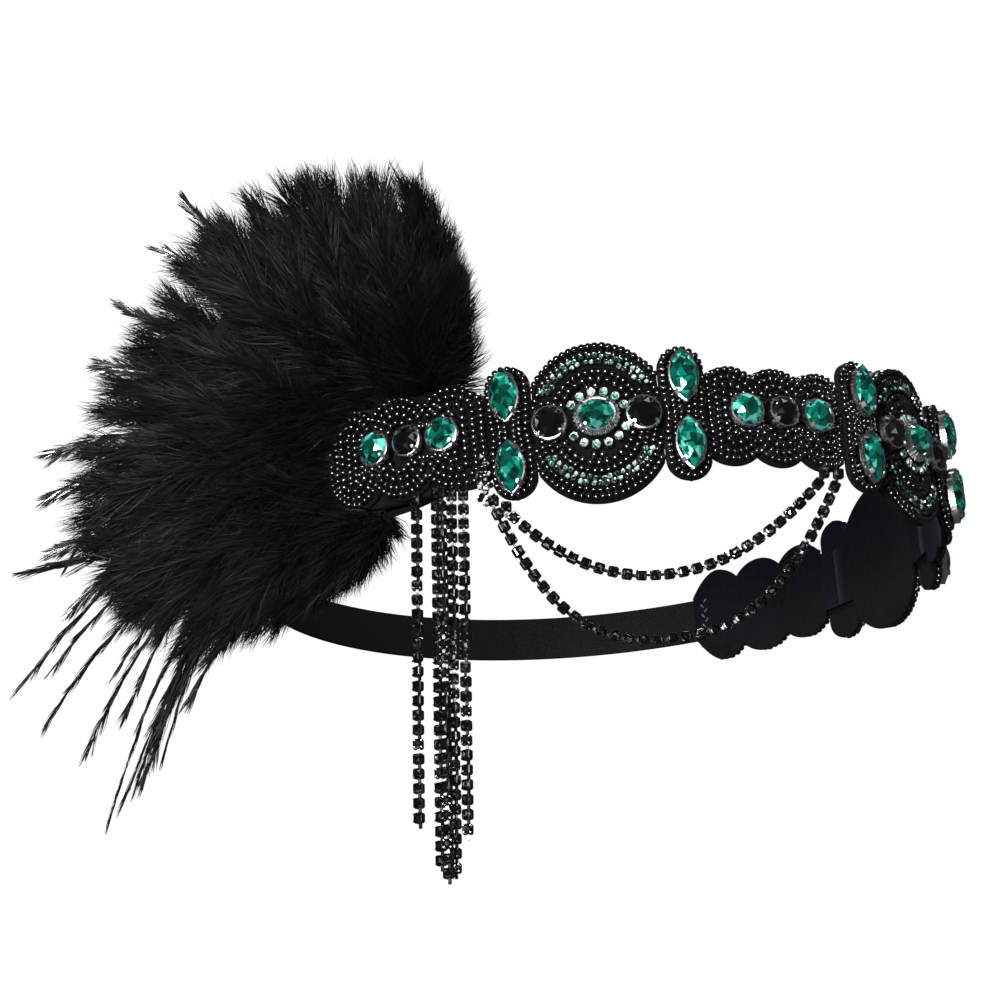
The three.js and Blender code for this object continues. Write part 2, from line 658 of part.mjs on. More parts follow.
// A lock's middle line, from where it leaves the felt (0) to its tip (1).
const ROOT_HALF = { wide: 2.4, thick: 0.35 };
const FELT_MARGIN = 2.6;
const ROOT_ABOVE = FEATHER_LIFT - SEAT_GAP - ROOT_HALF.thick;
function lockSpine({ angle, reach, flare, droop }) {
  const turn = THREE.MathUtils.degToRad(angle);
  const exit = feltEdge(turn) + FELT_MARGIN;
  const leaving = place(END_PANEL + exit * Math.cos(turn), exit * Math.sin(turn), ROOT_ABOVE);
  const length = reach * PLUME_REACH;
  const lean = length * Math.tan(THREE.MathUtils.degToRad(flare));
  const tip = place(END_PANEL, 0, ROOT_ABOVE)
    .addScaledVector(forwards(END_PANEL), length * Math.cos(turn))
    .addScaledVector(UP, length * Math.sin(turn))
    .addScaledVector(outwards(END_PANEL), lean);
  return (share) =>
    leaving.clone().lerp(tip, share).addScaledVector(UP, -droop * PLUME_REACH * share * share);
}

// A ring of a lock, wide across the fan and thick away from the head.
function lockRing(angle, centre, wide, thick, sides) {
  const turn = THREE.MathUtils.degToRad(angle);
  return ovalOutline(2 * wide, 2 * thick, sides).map((point) =>
    centre
      .clone()
      .addScaledVector(forwards(END_PANEL), -point.x * Math.sin(turn))
      .addScaledVector(UP, point.x * Math.cos(turn))
      .addScaledVector(outwards(END_PANEL), point.y),
  );
}

// The body of the plume: a fan as thick as its locks, which fills the room between them.
const CORE = [
  { at: 0, share: 0.6 },
  { at: 0.3, share: 0.62 },
  { at: 0.62, share: 0.62 },
  { at: 0.78, share: 0.4 },
];
function plumeCore() {
  return loft(
    LOCKS.map((lock) => {
      const spine = lockSpine(lock);
      const side = (sign) =>
        CORE.map(({ at, share }) => {
          const full = at === 0 ? ROOT_HALF.thick : PLUME_HALF_THICK * lock.thick;
          return spine(at).addScaledVector(outwards(END_PANEL), sign * share * full);
        });
      return [...side(1), ...side(-1).reverse()];
    }),
  );
}

// Along a lock and a hackle: place, and size as a share of the widest.
const LOCK_SIDES = 5;
const LOCK_SHAPE = [
  { at: 0.3, share: 0.8 },
  { at: 0.62, share: 1 },
  { at: 0.86, share: 0.58 },
  { at: 1, share: 0.1 },
];
const HACKLE_SHAPE = [
  { at: 0, share: 1 },
  { at: 0.5, share: 1 },
  { at: 1, share: 0.2 },
];
function addPlume() {
  const pad = strip(
    END_PANEL - ROOT_PAD.length / 2,
    END_PANEL + ROOT_PAD.length / 2,
    ROOT_PAD.height / 2,
    PAD_FLOOR,
    ROOT_PAD.thick,
  );
  let plume = solidOf(pad).add(solidOf(plumeCore()));
  const inPad = ROOT_PAD.height / 2 - 3;
  for (const lock of LOCKS) {
    const spine = lockSpine(lock);
    const wide = PLUME_HALF_WIDTH * lock.wide;
    const thick = PLUME_HALF_THICK * lock.thick;
    const turn = THREE.MathUtils.degToRad(lock.angle);
    const leaving = feltEdge(turn) + FELT_MARGIN;
    // Under the felt the lock is flat and follows the band's curve.
    const rings = repeat(3, (index) => {
      const run = THREE.MathUtils.lerp(inPad, leaving, index / 2);
      const centre = place(END_PANEL + run * Math.cos(turn), run * Math.sin(turn), ROOT_ABOVE);
      const grown = (0.5 + index / 4) * ROOT_HALF.wide;
      return lockRing(lock.angle, centre, grown, ROOT_HALF.thick, LOCK_SIDES);
    });
    for (const { at, share } of LOCK_SHAPE) {
      rings.push(lockRing(lock.angle, spine(at), share * wide, share * thick, LOCK_SIDES));
    }
    plume = plume.add(solidOf(loft(rings)));
  }
  for (const hackle of HACKLES) {
    const spine = lockSpine(hackle);
    const rings = HACKLE_SHAPE.map(({ at, share }) => {
      const centre = spine(hackle.start + (1 - hackle.start) * at);
      return lockRing(hackle.angle, centre, share * HACKLE_HALF_WIDTH, share * HACKLE_HALF_THICK, 4);
    });
    plume = plume.add(solidOf(loft(rings)));
  }
  addMesh(band, "feather_plume", outerShell(geometryOf(plume)), MATERIALS.feather);
}

addMedallions();
addLinkPanels();
addEndPanels();
addPlaques();
addElastic();
addFeltsAndPad();
addPlume();
addPanelStones();
addMedallionStones();
addPointedStones();
addFringe();
addSwags();

export default headband;
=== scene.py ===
import math

import bpy
import numpy as np
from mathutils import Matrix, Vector


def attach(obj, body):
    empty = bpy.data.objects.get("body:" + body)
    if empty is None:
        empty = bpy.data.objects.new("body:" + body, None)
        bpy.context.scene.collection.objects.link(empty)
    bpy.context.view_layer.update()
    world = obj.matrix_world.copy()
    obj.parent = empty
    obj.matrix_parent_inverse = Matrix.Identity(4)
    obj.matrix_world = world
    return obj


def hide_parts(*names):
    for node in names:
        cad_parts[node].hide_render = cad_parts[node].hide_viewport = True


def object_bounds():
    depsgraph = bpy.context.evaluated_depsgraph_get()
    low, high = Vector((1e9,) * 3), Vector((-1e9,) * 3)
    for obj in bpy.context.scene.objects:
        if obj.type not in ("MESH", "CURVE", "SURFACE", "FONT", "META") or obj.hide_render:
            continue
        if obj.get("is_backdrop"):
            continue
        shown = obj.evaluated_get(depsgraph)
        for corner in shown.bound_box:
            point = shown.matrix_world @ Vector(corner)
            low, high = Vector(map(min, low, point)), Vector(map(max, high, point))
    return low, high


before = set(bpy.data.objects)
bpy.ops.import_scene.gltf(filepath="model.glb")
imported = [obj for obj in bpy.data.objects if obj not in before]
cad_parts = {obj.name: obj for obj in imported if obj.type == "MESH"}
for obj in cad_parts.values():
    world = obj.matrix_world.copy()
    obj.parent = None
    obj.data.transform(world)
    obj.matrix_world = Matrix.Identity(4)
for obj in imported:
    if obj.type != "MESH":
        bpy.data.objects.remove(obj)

cad_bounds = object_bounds()
MM = 0.001

# The felt under every panel is black velvet, cut a little proud of the beads and bent round the
# head. The panels meet edge to edge under the plaques, so from inside the band is one soft face.
HEAD_BREADTH = 167 * MM
HEAD_LENGTH = 181 * MM
WORN_TILT = math.radians(6)
SEAT_GAP = 0.3 * MM
FELT = 1.2 * MM
MEDALLION_LENGTH = 30 * MM
MEDALLION_OVAL = 36 * MM
MEDALLION_HEIGHT = 40 * MM
LINK_LENGTH = 36 * MM
LINK_HEIGHT = 24.6 * MM
END_LENGTH = 42 * MM
END_HEIGHT = 26 * MM
SCALLOP_RADIUS = 9 * MM
SCALLOPS = 3
TONGUE_HEIGHT = 16 * MM
PLAQUE_WIDTH = 10.4 * MM
PLAQUE_HEIGHT = 33.6 * MM
PLAQUE_FELT = 1 * MM
JOINT_STEP = PLAQUE_WIDTH + 2 * SEAT_GAP
FRONT_PLAQUE = MEDALLION_LENGTH / 2 + JOINT_STEP / 2
LINK = FRONT_PLAQUE + JOINT_STEP / 2 + LINK_LENGTH / 2
MIDDLE_PLAQUE = LINK + LINK_LENGTH / 2 + JOINT_STEP / 2
SIDE_MEDALLION = MIDDLE_PLAQUE + JOINT_STEP / 2 + MEDALLION_LENGTH / 2
REAR_PLAQUE = SIDE_MEDALLION + MEDALLION_LENGTH / 2 + JOINT_STEP / 2
END_START = REAR_PLAQUE + JOINT_STEP / 2
END_PANEL = END_START + END_LENGTH / 2
SLOPE_LENGTH = END_LENGTH / 6
FEATHER_LIFT = 3.6 * MM
END_RISE = 3.4 * MM
PATCH = {"centre": END_PANEL + 5 * MM, "length": 41 * MM, "height": 24.6 * MM, "thick": 1 * MM}
FEATHER_FELT = {"centre": END_START + 22.5 * MM, "length": 45 * MM, "height": 30 * MM, "thick": 1.2 * MM}

# Distance along the band against the angle round the head, for bending flat pieces round it.
oval_turns = np.linspace(-math.pi, 2 * math.pi, 6001)
oval_x = -HEAD_BREADTH / 2 * np.sin(oval_turns)
oval_y = -HEAD_LENGTH / 2 * np.cos(oval_turns)
oval_run = np.concatenate([[0], np.cumsum(np.hypot(np.diff(oval_x), np.diff(oval_y)))])
oval_run -= np.interp(0, oval_turns, oval_run)
HEAD_ROUND = np.interp(2 * math.pi, oval_turns, oval_run)


def worn(points):
    """Turn points so that the band sits higher on the brow than at the nape."""
    x, y, z = np.moveaxis(np.asarray(points, float), -1, 0)
    cosine, sine = math.cos(WORN_TILT), math.sin(WORN_TILT)
    return np.stack([x, y * cosine + z * sine, z * cosine - y * sine], -1)


def outwards(along):
    """The level direction that points away from the head."""
    turn = np.interp(along, oval_run, oval_turns)
    x, y = -np.sin(turn) / HEAD_BREADTH, -np.cos(turn) / HEAD_LENGTH
    size = np.hypot(x, y)
    return np.stack([x / size, y / size, 0 * x], -1)


def place(along, across, above):
    """Points of the band: distance along it, height across it, and height above the head."""
    along, across, above = np.broadcast_arrays(*map(np.asarray, (along, across, above)))
    turn = np.interp(along, oval_run, oval_turns)
    foot = np.stack([-HEAD_BREADTH / 2 * np.sin(turn), -HEAD_LENGTH / 2 * np.cos(turn), across], -1)
    return worn(foot + outwards(along) * above[..., None])


def sway(along):
    """How far the right end panel's free end rides up on the plume's root."""
    return END_RISE * np.clip((np.asarray(along) - END_START) / END_LENGTH, 0, 1.2)


def lift(along):
    """How far the plume's root raises the felt and the end panel."""
    return FEATHER_LIFT * np.clip((np.asarray(along) - END_START) / SLOPE_LENGTH, 0, 1)


def put_on_band(name, mesh, material, stands_for=()):
    """A mesh as a piece that rides with the band and takes the place of its CAD nodes."""
    mesh.materials.append(material)
    piece = bpy.data.objects.new(name, mesh)
    bpy.context.scene.collection.objects.link(piece)
    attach(piece, "root")
    for node in stands_for:
        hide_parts(node)
    return piece


def add_piece(name, points, faces, material, slot, stands_for=(), smooth=True):
    """A piece made from its points and faces."""
    mesh = bpy.data.meshes.new(name)
    mesh.from_pydata(np.asarray(points).tolist(), [], [list(map(int, face)) for face in faces])
    mesh.validate()
    mesh.polygons.foreach_set("use_smooth", [smooth] * len(mesh.polygons))
    return put_on_band(name, mesh, material, stands_for)


def set_values(mesh, name, values, domain="FACE"):
    """A number for each face or point, which a material reads by its name."""
    data = mesh.attributes.new(name, "FLOAT", domain).data
    data.foreach_set("value", np.asarray(values, np.float32))


def rings_joined(rings, sides, closed=False):
    """The faces between rings of points that follow each other."""
    return [(ring * sides + side, ring * sides + (side + 1) % sides,
             (ring + 1) % rings * sides + (side + 1) % sides, (ring + 1) % rings * sides + side)
            for ring in range(rings if closed else rings - 1) for side in range(sides)]


def join(parts):
    """Several shapes as one list of points and one list of faces."""
    points, faces, shift = [], [], 0
    for part_points, part_faces in parts:
        points.append(np.asarray(part_points, float))
        faces.extend(tuple(index + shift for index in face) for face in part_faces)
        shift += len(part_points)
    return np.concatenate(points), faces


CAPPED_POST = rings_joined(2, 4) + [(4, 5, 6, 7)]


def unit(vectors):
    return vectors / np.linalg.norm(vectors, axis=-1, keepdims=True)


def sample(path, run, spots):
    """Points of a path at spots along its run."""
    return np.stack([np.interp(spots, run, line) for line in path.T], -1)


def set_stops(ramp, stops):
    while len(ramp.elements) < len(stops):
        ramp.elements.new(0.5)
    for element, (position, colour) in zip(ramp.elements, stops):
        element.position = position
        element.color = (*colour, 1)


class Socket:
    """A shader socket that works in sums, so that shader maths reads as an expression."""

    def __init__(self, tree, socket):
        self.tree = tree
        self.socket = socket

    def node(self, kind, output=0, settings=None, **inputs):
        """A node by its type: its settings are set first, then its sockets' values or links."""
        made = self.tree.nodes.new(kind)
        for key, value in (settings or {}).items():
            if key == "stops":
                set_stops(made.color_ramp, value)
            else:
                setattr(made, key, value)
        for key, value in inputs.items():
            name = int(key[1:]) if key[0] == "i" and key[1:].isdigit() else key.replace("_", " ")
            if isinstance(value, Socket):
                self.tree.links.new(value.socket, made.inputs[name])
            else:
                made.inputs[name].default_value = value
        return Socket(self.tree, made.outputs[output])

    def maths(self, operation, *others):
        values = {f"i{index}": value for index, value in enumerate((self, *others))}
        return self.node("ShaderNodeMath", settings={"operation": operation}, **values)

    def __add__(self, other):
        return self.maths("ADD", other)

    def __mul__(self, other):
        return self.maths("MULTIPLY", other)

    def __sub__(self, other):
        return self.maths("SUBTRACT", other)

    def __pow__(self, other):
        return self.maths("POWER", other)

    def __rsub__(self, other):
        return (self * -1) + other

    __radd__ = __add__
    __rmul__ = __mul__

    def ramp(self, *stops):
        """A colour ramp from (position, colour) stops."""
        return self.node("ShaderNodeValToRGB", settings={"stops": stops}, Fac=self)

    def bump(self, strength, depth):
        return self.node("ShaderNodeBump", Strength=strength, Distance=depth, Height=self)


class Finish:
    """A material whose shader sockets are set by name, with values or with links."""

    def __init__(self, name):
        self.material = bpy.data.materials.new(name)
        self.material.use_nodes = True
        self.tree = self.material.node_tree
        self.shader = self.tree.nodes["Principled BSDF"]
        self.where = Socket(self.tree, None).node("ShaderNodeTexCoord", output="Object")

    def set(self, **sockets):
        for key, value in sockets.items():
            name = key.replace("_", " ").title().replace("Ior", "IOR")
            if isinstance(value, Socket):
                self.tree.links.new(value.socket, self.shader.inputs[name])
            elif isinstance(value, tuple):
                self.shader.inputs[name].default_value = (*value, 1)
            else:
                self.shader.inputs[name].default_value = value
        return self

    def noise(self, scale, detail=3.0, roughness=0.55):
        return self.where.node("ShaderNodeTexNoise", Vector=self.where, Scale=scale, Detail=detail,
                               Roughness=roughness)

    def attribute(self, name):
        settings = {"attribute_name": name}
        return self.where.node("ShaderNodeAttribute", output="Fac", settings=settings)


velvet = Finish("black_velvet")
nap = velvet.noise(900.0, 6.0)
crush = velvet.noise(60.0, 3.0)
velvet.set(
    base_color=(nap * 0.6 + crush * 0.5).ramp(
        (0.25, (0.0015, 0.0015, 0.0025)), (0.8, (0.007, 0.0065, 0.0105)),
    ),
    roughness=0.95,
    specular_ior_level=0.1,
    sheen_weight=0.06,
    sheen_roughness=0.4,
    sheen_tint=(0.3, 0.3, 0.45),
    normal=(nap + crush * 0.7).bump(0.5, 0.25 * MM),
)


def felt_plate(along, half, floor_height, thick, rises=False, columns=12, raised=0.0):
    """A flat felt with an outline of stations, as points and faces. It has a thin rounded edge."""
    along, half = np.asarray(along), np.asarray(half)
    share = np.sin(np.linspace(-1, 1, columns + 1) * math.pi / 2)
    edge = min(0.3 * MM, thick / 3)
    inset = np.maximum(half - edge, half * 0.9)
    loops = [(half, 0.0), (inset, thick)]
    points = []
    for widths, height in loops:
        across = widths[:, None] * share[None, :]
        run = np.broadcast_to(along[:, None], across.shape)
        across = across + raised + (sway(run) if rises else 0)
        points.append(place(run, across, floor_height(run) + height))
    rows = len(along)
    points = np.concatenate([sheet.reshape(-1, 3) for sheet in points])
    lower = lambda row, column: row * (columns + 1) + column
    upper = lambda row, column: rows * (columns + 1) + lower(row, column)
    faces = []
    for row in range(rows - 1):
        for column in range(columns):
            here, there = (row, column), (row + 1, column + 1)
            faces.append((lower(*here), lower(row + 1, column), lower(*there), lower(row, column + 1)))
            faces.append((upper(*here), upper(row, column + 1), upper(*there), upper(row + 1, column)))
        faces.append((lower(row, 0), upper(row, 0), upper(row + 1, 0), lower(row + 1, 0)))
        last = columns
        faces.append((lower(row + 1, last), upper(row + 1, last), upper(row, last), lower(row, last)))
    for column in range(columns):
        end = rows - 1
        faces.append((lower(0, column), lower(0, column + 1), upper(0, column + 1), upper(0, column)))
        faces.append((lower(end, column), upper(end, column), upper(end, column + 1), lower(end, column + 1)))
    return points, faces


def oval_half(offset, length, height, squareness=2.0):
    share = np.clip(np.abs(2 * offset / length), 0, 1)
    return height / 2 * (1 - share ** squareness) ** (1 / squareness)


def scallop_half(offset, length, height, inset=0.0):
    """Half the height of a scalloped panel, or of a row that lies inside its edge by an inset."""
    pitch = length / SCALLOPS
    nearest = np.clip(np.round(offset / pitch), -(SCALLOPS // 2), SCALLOPS // 2)
    beyond = offset - pitch * nearest
    radius = SCALLOP_RADIUS - inset
    return height / 2 - SCALLOP_RADIUS + np.sqrt(np.maximum(radius ** 2 - beyond ** 2, 0))


END_ROUND = 9 * MM
END_BLUNT = 0.62


def blunt(offset, free_side):
    """How much the free end of an end panel is rounded off, as a share of its height."""
    past = np.clip((free_side * offset - (END_LENGTH / 2 - END_ROUND)) / END_ROUND, 0, 1)
    return 1 - (1 - END_BLUNT) * past ** 2


flat_floor = lambda run: 0 * run
PANELS = [
    {"name": "medallion_centre", "kind": "medallion", "centre": 0.0},
    {"name": "medallion_right", "kind": "medallion", "centre": SIDE_MEDALLION},
    {"name": "medallion_left", "kind": "medallion", "centre": -SIDE_MEDALLION},
    {"name": "link_panel_right", "kind": "link", "centre": LINK},
    {"name": "link_panel_left", "kind": "link", "centre": -LINK},
    {"name": "end_panel_right", "kind": "end", "centre": END_PANEL, "free": 1},
    {"name": "end_panel_left", "kind": "end", "centre": -END_PANEL, "free": -1},
]
FELT_PROUD = 0.45 * MM
FELT_STEP = 0.02 * MM
FEATHER_FELT_RAISED = 1.5 * MM


def panel_half(panel, offset, inset=0.0):
    """Half the height of a panel's outline at a distance from its middle."""
    if panel["kind"] == "medallion":
        reach = MEDALLION_OVAL / 2 - inset
        share = np.clip(np.abs(offset) / reach, 0, 1)
        return (MEDALLION_HEIGHT / 2 - inset) * np.sqrt(1 - share ** 2)
    if panel["kind"] == "link":
        return scallop_half(offset, LINK_LENGTH, LINK_HEIGHT, inset)
    return scallop_half(offset, END_LENGTH, END_HEIGHT, inset) * blunt(offset, panel["free"])


def panel_reach(panel):
    lengths = {"medallion": MEDALLION_LENGTH, "link": LINK_LENGTH, "end": END_LENGTH}
    return lengths[panel["kind"]] / 2


def panel_floor(panel):
    """How high the felt of a panel lies above the head."""
    if panel["name"] == "end_panel_right":
        return lambda run: lift(run) + FEATHER_FELT["thick"] + SEAT_GAP
    return flat_floor


for panel in PANELS:
    reach = panel_reach(panel)
    stations = np.linspace(-reach, reach, 43)
    half = panel_half(panel, stations) + FELT_PROUD
    # Bare felt runs on under a plaque at each jointed end.
    tongue = JOINT_STEP / 2 - SEAT_GAP / 2
    before = panel["kind"] != "end"
    after = panel["kind"] != "end" or panel["name"] == "end_panel_left"
    if before:
        stations = np.concatenate([[-reach - tongue, -reach - FELT_STEP], stations])
        half = np.concatenate([[TONGUE_HEIGHT / 2] * 2, half])
    if after:
        stations = np.concatenate([stations, [reach + FELT_STEP, reach + tongue]])
        half = np.concatenate([half, [TONGUE_HEIGHT / 2] * 2])
    rises = panel["name"] == "end_panel_right"
    points, faces = felt_plate(panel["centre"] + stations, half, panel_floor(panel), FELT, rises)
    add_piece(panel["name"] + "_felt", points, faces, velvet.material, "felt", [panel["name"]])

for name, size, floor_height in (
    ("inner_patch", PATCH, flat_floor),
    ("feather_felt", FEATHER_FELT, lift),
):
    offsets = size["length"] / 2 * np.sin(np.linspace(-0.985, 0.985, 40) * math.pi / 2)
    half = oval_half(offsets, size["length"], size["height"], 3.0 if name == "feather_felt" else 2.4)
    if name == "feather_felt":
        start = REAR_PLAQUE + SEAT_GAP / 2 - size["centre"]
        keep = offsets > END_START + 0.5 * MM - size["centre"]
        offsets = np.concatenate([[start, END_START - size["centre"]], offsets[keep]])
        half = np.concatenate([[TONGUE_HEIGHT / 2] * 2, half[keep]])
    rises = name == "feather_felt"
    points, faces = felt_plate(size["centre"] + offsets, half, floor_height, size["thick"], rises,
                               raised=FEATHER_FELT_RAISED if rises else 0.0)
    add_piece("velvet_" + name, points, faces, velvet.material, "felt", [name])

# Black seed beads are sewn on in rows that follow each panel's edge. They are short glass tubes
# with rounded rims, strung along the row, so each shows one bright point.
BEAD = 1.95 * MM
BEAD_PITCH = 1.6 * MM
SMALL_BEAD = 1.65 * MM
SMALL_BEAD_PITCH = 1.4 * MM
BIG_BEAD = 2.3 * MM
BIG_BEAD_PITCH = 1.95 * MM
rng = np.random.default_rng(7)

black_glass = Finish("black_bead_glass")
black_glass.set(
    base_color=black_glass.noise(400.0).ramp((0.3, (0.001, 0.001, 0.0015)), (0.8, (0.005, 0.005, 0.007))),
    roughness=(black_glass.noise(700.0) * 0.2 + 0.4),
    specular_ior_level=0.05,
    coat_weight=1.0,
    coat_roughness=0.02,
    coat_ior=1.7,
)

BEAD_PROFILE = [(-0.37, 0.14), (-0.36, 0.31), (-0.19, 0.48), (0.19, 0.48), (0.36, 0.31), (0.37, 0.14)]
BEAD_SIDES = 8


def bead_shape():
    """A seed bead one unit across, with its hole along X."""
    turns = np.arange(BEAD_SIDES) * 2 * math.pi / BEAD_SIDES
    points = np.array([
        (x, radius * math.cos(turn), radius * math.sin(turn))
        for x, radius in BEAD_PROFILE
        for turn in turns
    ])
    return points, np.array(rings_joined(len(BEAD_PROFILE), BEAD_SIDES, closed=True))


def scatter(shape, centres, forward, outward, sizes):
    """Copies of one shape, each turned to its own directions, as points and faces of one mesh."""
    points, faces = shape
    sideways = np.cross(outward, forward)
    sideways = unit(sideways)
    outward = np.cross(forward, sideways)
    sizes = np.broadcast_to(np.asarray(sizes, float), (len(centres),))
    axes = np.stack([forward, sideways, outward], 1)
    placed = np.einsum("pk,ckj->cpj", points, axes) * sizes[:, None, None] + centres[:, None, :]
    shifts = np.arange(len(centres)) * len(points)
    return placed.reshape(-1, 3), (faces[None] + shifts[:, None, None]).reshape(-1, faces.shape[1])


def even_points(path, pitch):
    """Points at an even pitch along a flat path, with the direction of the path at each."""
    path = np.asarray(path)
    run = np.concatenate([[0], np.cumsum(np.hypot(*np.diff(path, axis=0).T))])
    count = max(int(run[-1] / pitch), 1)
    spots = (np.arange(count) + 0.5) * run[-1] / count
    ahead, behind = (sample(path, run, spots + step) for step in (pitch / 4, -pitch / 4))
    return sample(path, run, spots), unit(ahead - behind)


def on_band(at, way, above):
    """Flat places and directions, brought to the band as centres, forward and outward directions."""
    centres = place(at[:, 0], at[:, 1], above)
    step = 0.1 * MM
    ahead = place(at[:, 0] + way[:, 0] * step, at[:, 1] + way[:, 1] * step, above)
    forward = ahead - centres
    forward = unit(forward)
    return centres, forward, worn(outwards(at[:, 0]))


def clear_of(at, stones):
    """Which places are clear of the stones: each is (along, across, half, half, roundness)."""
    keep = np.ones(len(at), bool)
    for along, across, half_along, half_across, roundness in stones:
        away = (np.abs(at[:, 0] - along) / half_along) ** roundness
        away += (np.abs(at[:, 1] - across) / half_across) ** roundness
        keep &= away > 1
    return keep


class BeadField:
    """Bead rows gathered for one panel."""

    def __init__(self, centre, floor_height, rises=False):
        self.centre = centre
        self.floor_height = floor_height
        self.rises = rises
        self.parts = []

    def row(self, path, bead=BEAD, pitch=BEAD_PITCH, seat=FELT, stones=(), keep=None):
        at, way = even_points(path, pitch)
        clear = clear_of(at, stones)
        if keep is not None:
            clear &= keep(at)
        at, way = at[clear], way[clear]
        if not len(at):
            return
        at = at + rng.normal(0, 0.05 * MM, at.shape)
        way = way + rng.normal(0, 0.1, way.shape)
        sizes = bead * rng.uniform(0.94, 1.05, len(at))
        at[:, 0] += self.centre
        if self.rises:
            at[:, 1] += sway(at[:, 0])
        above = self.floor_height(at[:, 0]) + seat + bead * 0.46 + rng.normal(0, 0.06 * MM, len(at))
        self.parts.append(scatter(bead_shape(), *on_band(at, way, above), sizes))

    def add(self, name):
        add_piece(name, *join(self.parts), black_glass.material, "beads")


ROUND_STONE = 8.6 * MM
LINK_BLACK_STONE = 7.8 * MM
MEDALLION_BLACK_STONE = 8.6 * MM
OVAL_STONE = (9.3 * MM, 8.3 * MM)
POINTED_STONE = (7.5 * MM, 13.9 * MM)
LINK_STONE_PITCH = 9.2 * MM
END_STONE_SHIFT = -3.8 * MM
END_STONE_PITCH = 8.65 * MM
MEDALLION_STONE_PITCH = 10.8 * MM
POINTED_STONE_PITCH = 17.2 * MM
BAND_CLEAR = 7.6 * MM
BEADS_TUCKED = 1.3 * MM
MIDDLE_CLEAR = 8.7 * MM


def edge_path(panel, inset):
    """A closed row that follows a scalloped panel inside its edge."""
    reach = panel_reach(panel) - inset
    offsets = np.linspace(-reach, reach, 160)
    half = panel_half(panel, offsets, inset)
    top = np.stack([offsets, half], -1)
    bottom = np.stack([offsets, -half], -1)[::-1]
    return np.concatenate([top, bottom, top[:1]])


def oval_path(across_long, across_high, start=0.0, end=360.0, steps=160):
    turns = np.radians(np.linspace(start, end, steps))
    return np.stack([across_long / 2 * np.cos(turns), across_high / 2 * np.sin(turns)], -1)


for panel in PANELS:
    field = BeadField(panel["centre"], panel_floor(panel), panel["name"] == "end_panel_right")
    if panel["kind"] == "medallion":
        black_half = MEDALLION_BLACK_STONE / 2 - BEADS_TUCKED
        stones = [(side * MEDALLION_STONE_PITCH, 0, black_half, black_half, 2) for side in (-1, 1)]
        stones.append((0, 0, MIDDLE_CLEAR, MIDDLE_CLEAR, 2))
        # Larger beads fill the field, and the rows at the rhinestone bands run only beside them.
        for inset, bead, pitch, beside in (
            (0.8, BEAD, BEAD_PITCH, False),
            (2.55, BEAD, BEAD_PITCH, False),
            (4.2, SMALL_BEAD, SMALL_BEAD_PITCH, True),
            (5.8, SMALL_BEAD, SMALL_BEAD_PITCH, True),
            (7.3, BEAD, BEAD_PITCH, False),
            (9.2, BIG_BEAD, BIG_BEAD_PITCH, False),
            (11.2, BIG_BEAD, BIG_BEAD_PITCH, False),
            (13.0, BEAD, BEAD_PITCH, False),
        ):
            path = oval_path(MEDALLION_OVAL - 2 * inset * MM, MEDALLION_HEIGHT - 2 * inset * MM)
            field.row(path, bead, pitch, stones=stones,
                      keep=lambda at: (np.abs(at[:, 0]) < MEDALLION_LENGTH / 2)
                      & ((np.abs(at[:, 1]) < BAND_CLEAR - 0.6 * MM) | (not beside)))
    else:
        green_half = ROUND_STONE / 2 - BEADS_TUCKED
        black_half = LINK_BLACK_STONE / 2 - BEADS_TUCKED
        lifted_end = panel["name"] == "end_panel_right"
        shift, stone_pitch = (END_STONE_SHIFT, END_STONE_PITCH) if lifted_end else (0, LINK_STONE_PITCH)
        stones = [(shift + side * stone_pitch, 0, green_half, green_half, 2) for side in (-1, 1)]
        stones.append((shift, 0, black_half, black_half, 2))
        for inset, bead, pitch in (
            (0.9, BEAD, BEAD_PITCH),
            (2.7, BEAD, BEAD_PITCH),
            (4.65, BIG_BEAD, BIG_BEAD_PITCH),
            (6.65, BEAD, BEAD_PITCH),
        ):
            field.row(edge_path(panel, inset * MM), bead, pitch, stones=stones)
        for offset in np.arange(8.5, 13.0, 1.9):
            line = panel_reach(panel) - offset * MM
            for side in (-1, 1):
                path = [(side * line, -7 * MM), (side * line, 7 * MM)]
                limit = LINK_HEIGHT / 2 - 7.1 * MM
                field.row(path, stones=stones, keep=lambda at: np.abs(at[:, 1]) < limit)
    field.add(panel["name"] + "_beads")

# Each plaque is a narrow felt over a joint, edged with one row of beads, with a few more at its
# waist and tips. It carries two pointed stones.
PLAQUE_PLACES = [
    REAR_PLAQUE, MIDDLE_PLAQUE, FRONT_PLAQUE, -FRONT_PLAQUE, -MIDDLE_PLAQUE, -REAR_PLAQUE,
]
PLAQUE_FLOOR = FELT + SEAT_GAP
PLAQUE_WAIST = 0.86
CORNERS = ((0, 0), (1, 0), (1, 1), (0, 1))
INNER_BEADS_UP = 0.3 * MM


def plaque_half(across, inset=0.0):
    round_end = PLAQUE_WIDTH / 2 - inset
    past = np.maximum(np.abs(across) - (PLAQUE_HEIGHT / 2 - PLAQUE_WIDTH / 2), 0)
    waist = PLAQUE_WAIST + (1 - PLAQUE_WAIST) * np.minimum(np.abs(across) / (5 * MM), 1)
    return waist * np.sqrt(np.maximum(round_end ** 2 - past ** 2, 0))


def plaque_path(inset):
    turns = np.linspace(-math.pi / 2, math.pi / 2, 120)
    across = (PLAQUE_HEIGHT / 2 - inset) * np.sin(turns)
    right_side = np.stack([plaque_half(across, inset), across], -1)
    left_side = right_side[::-1] * [-1, 1]
    return np.concatenate([right_side, left_side, right_side[:1]])


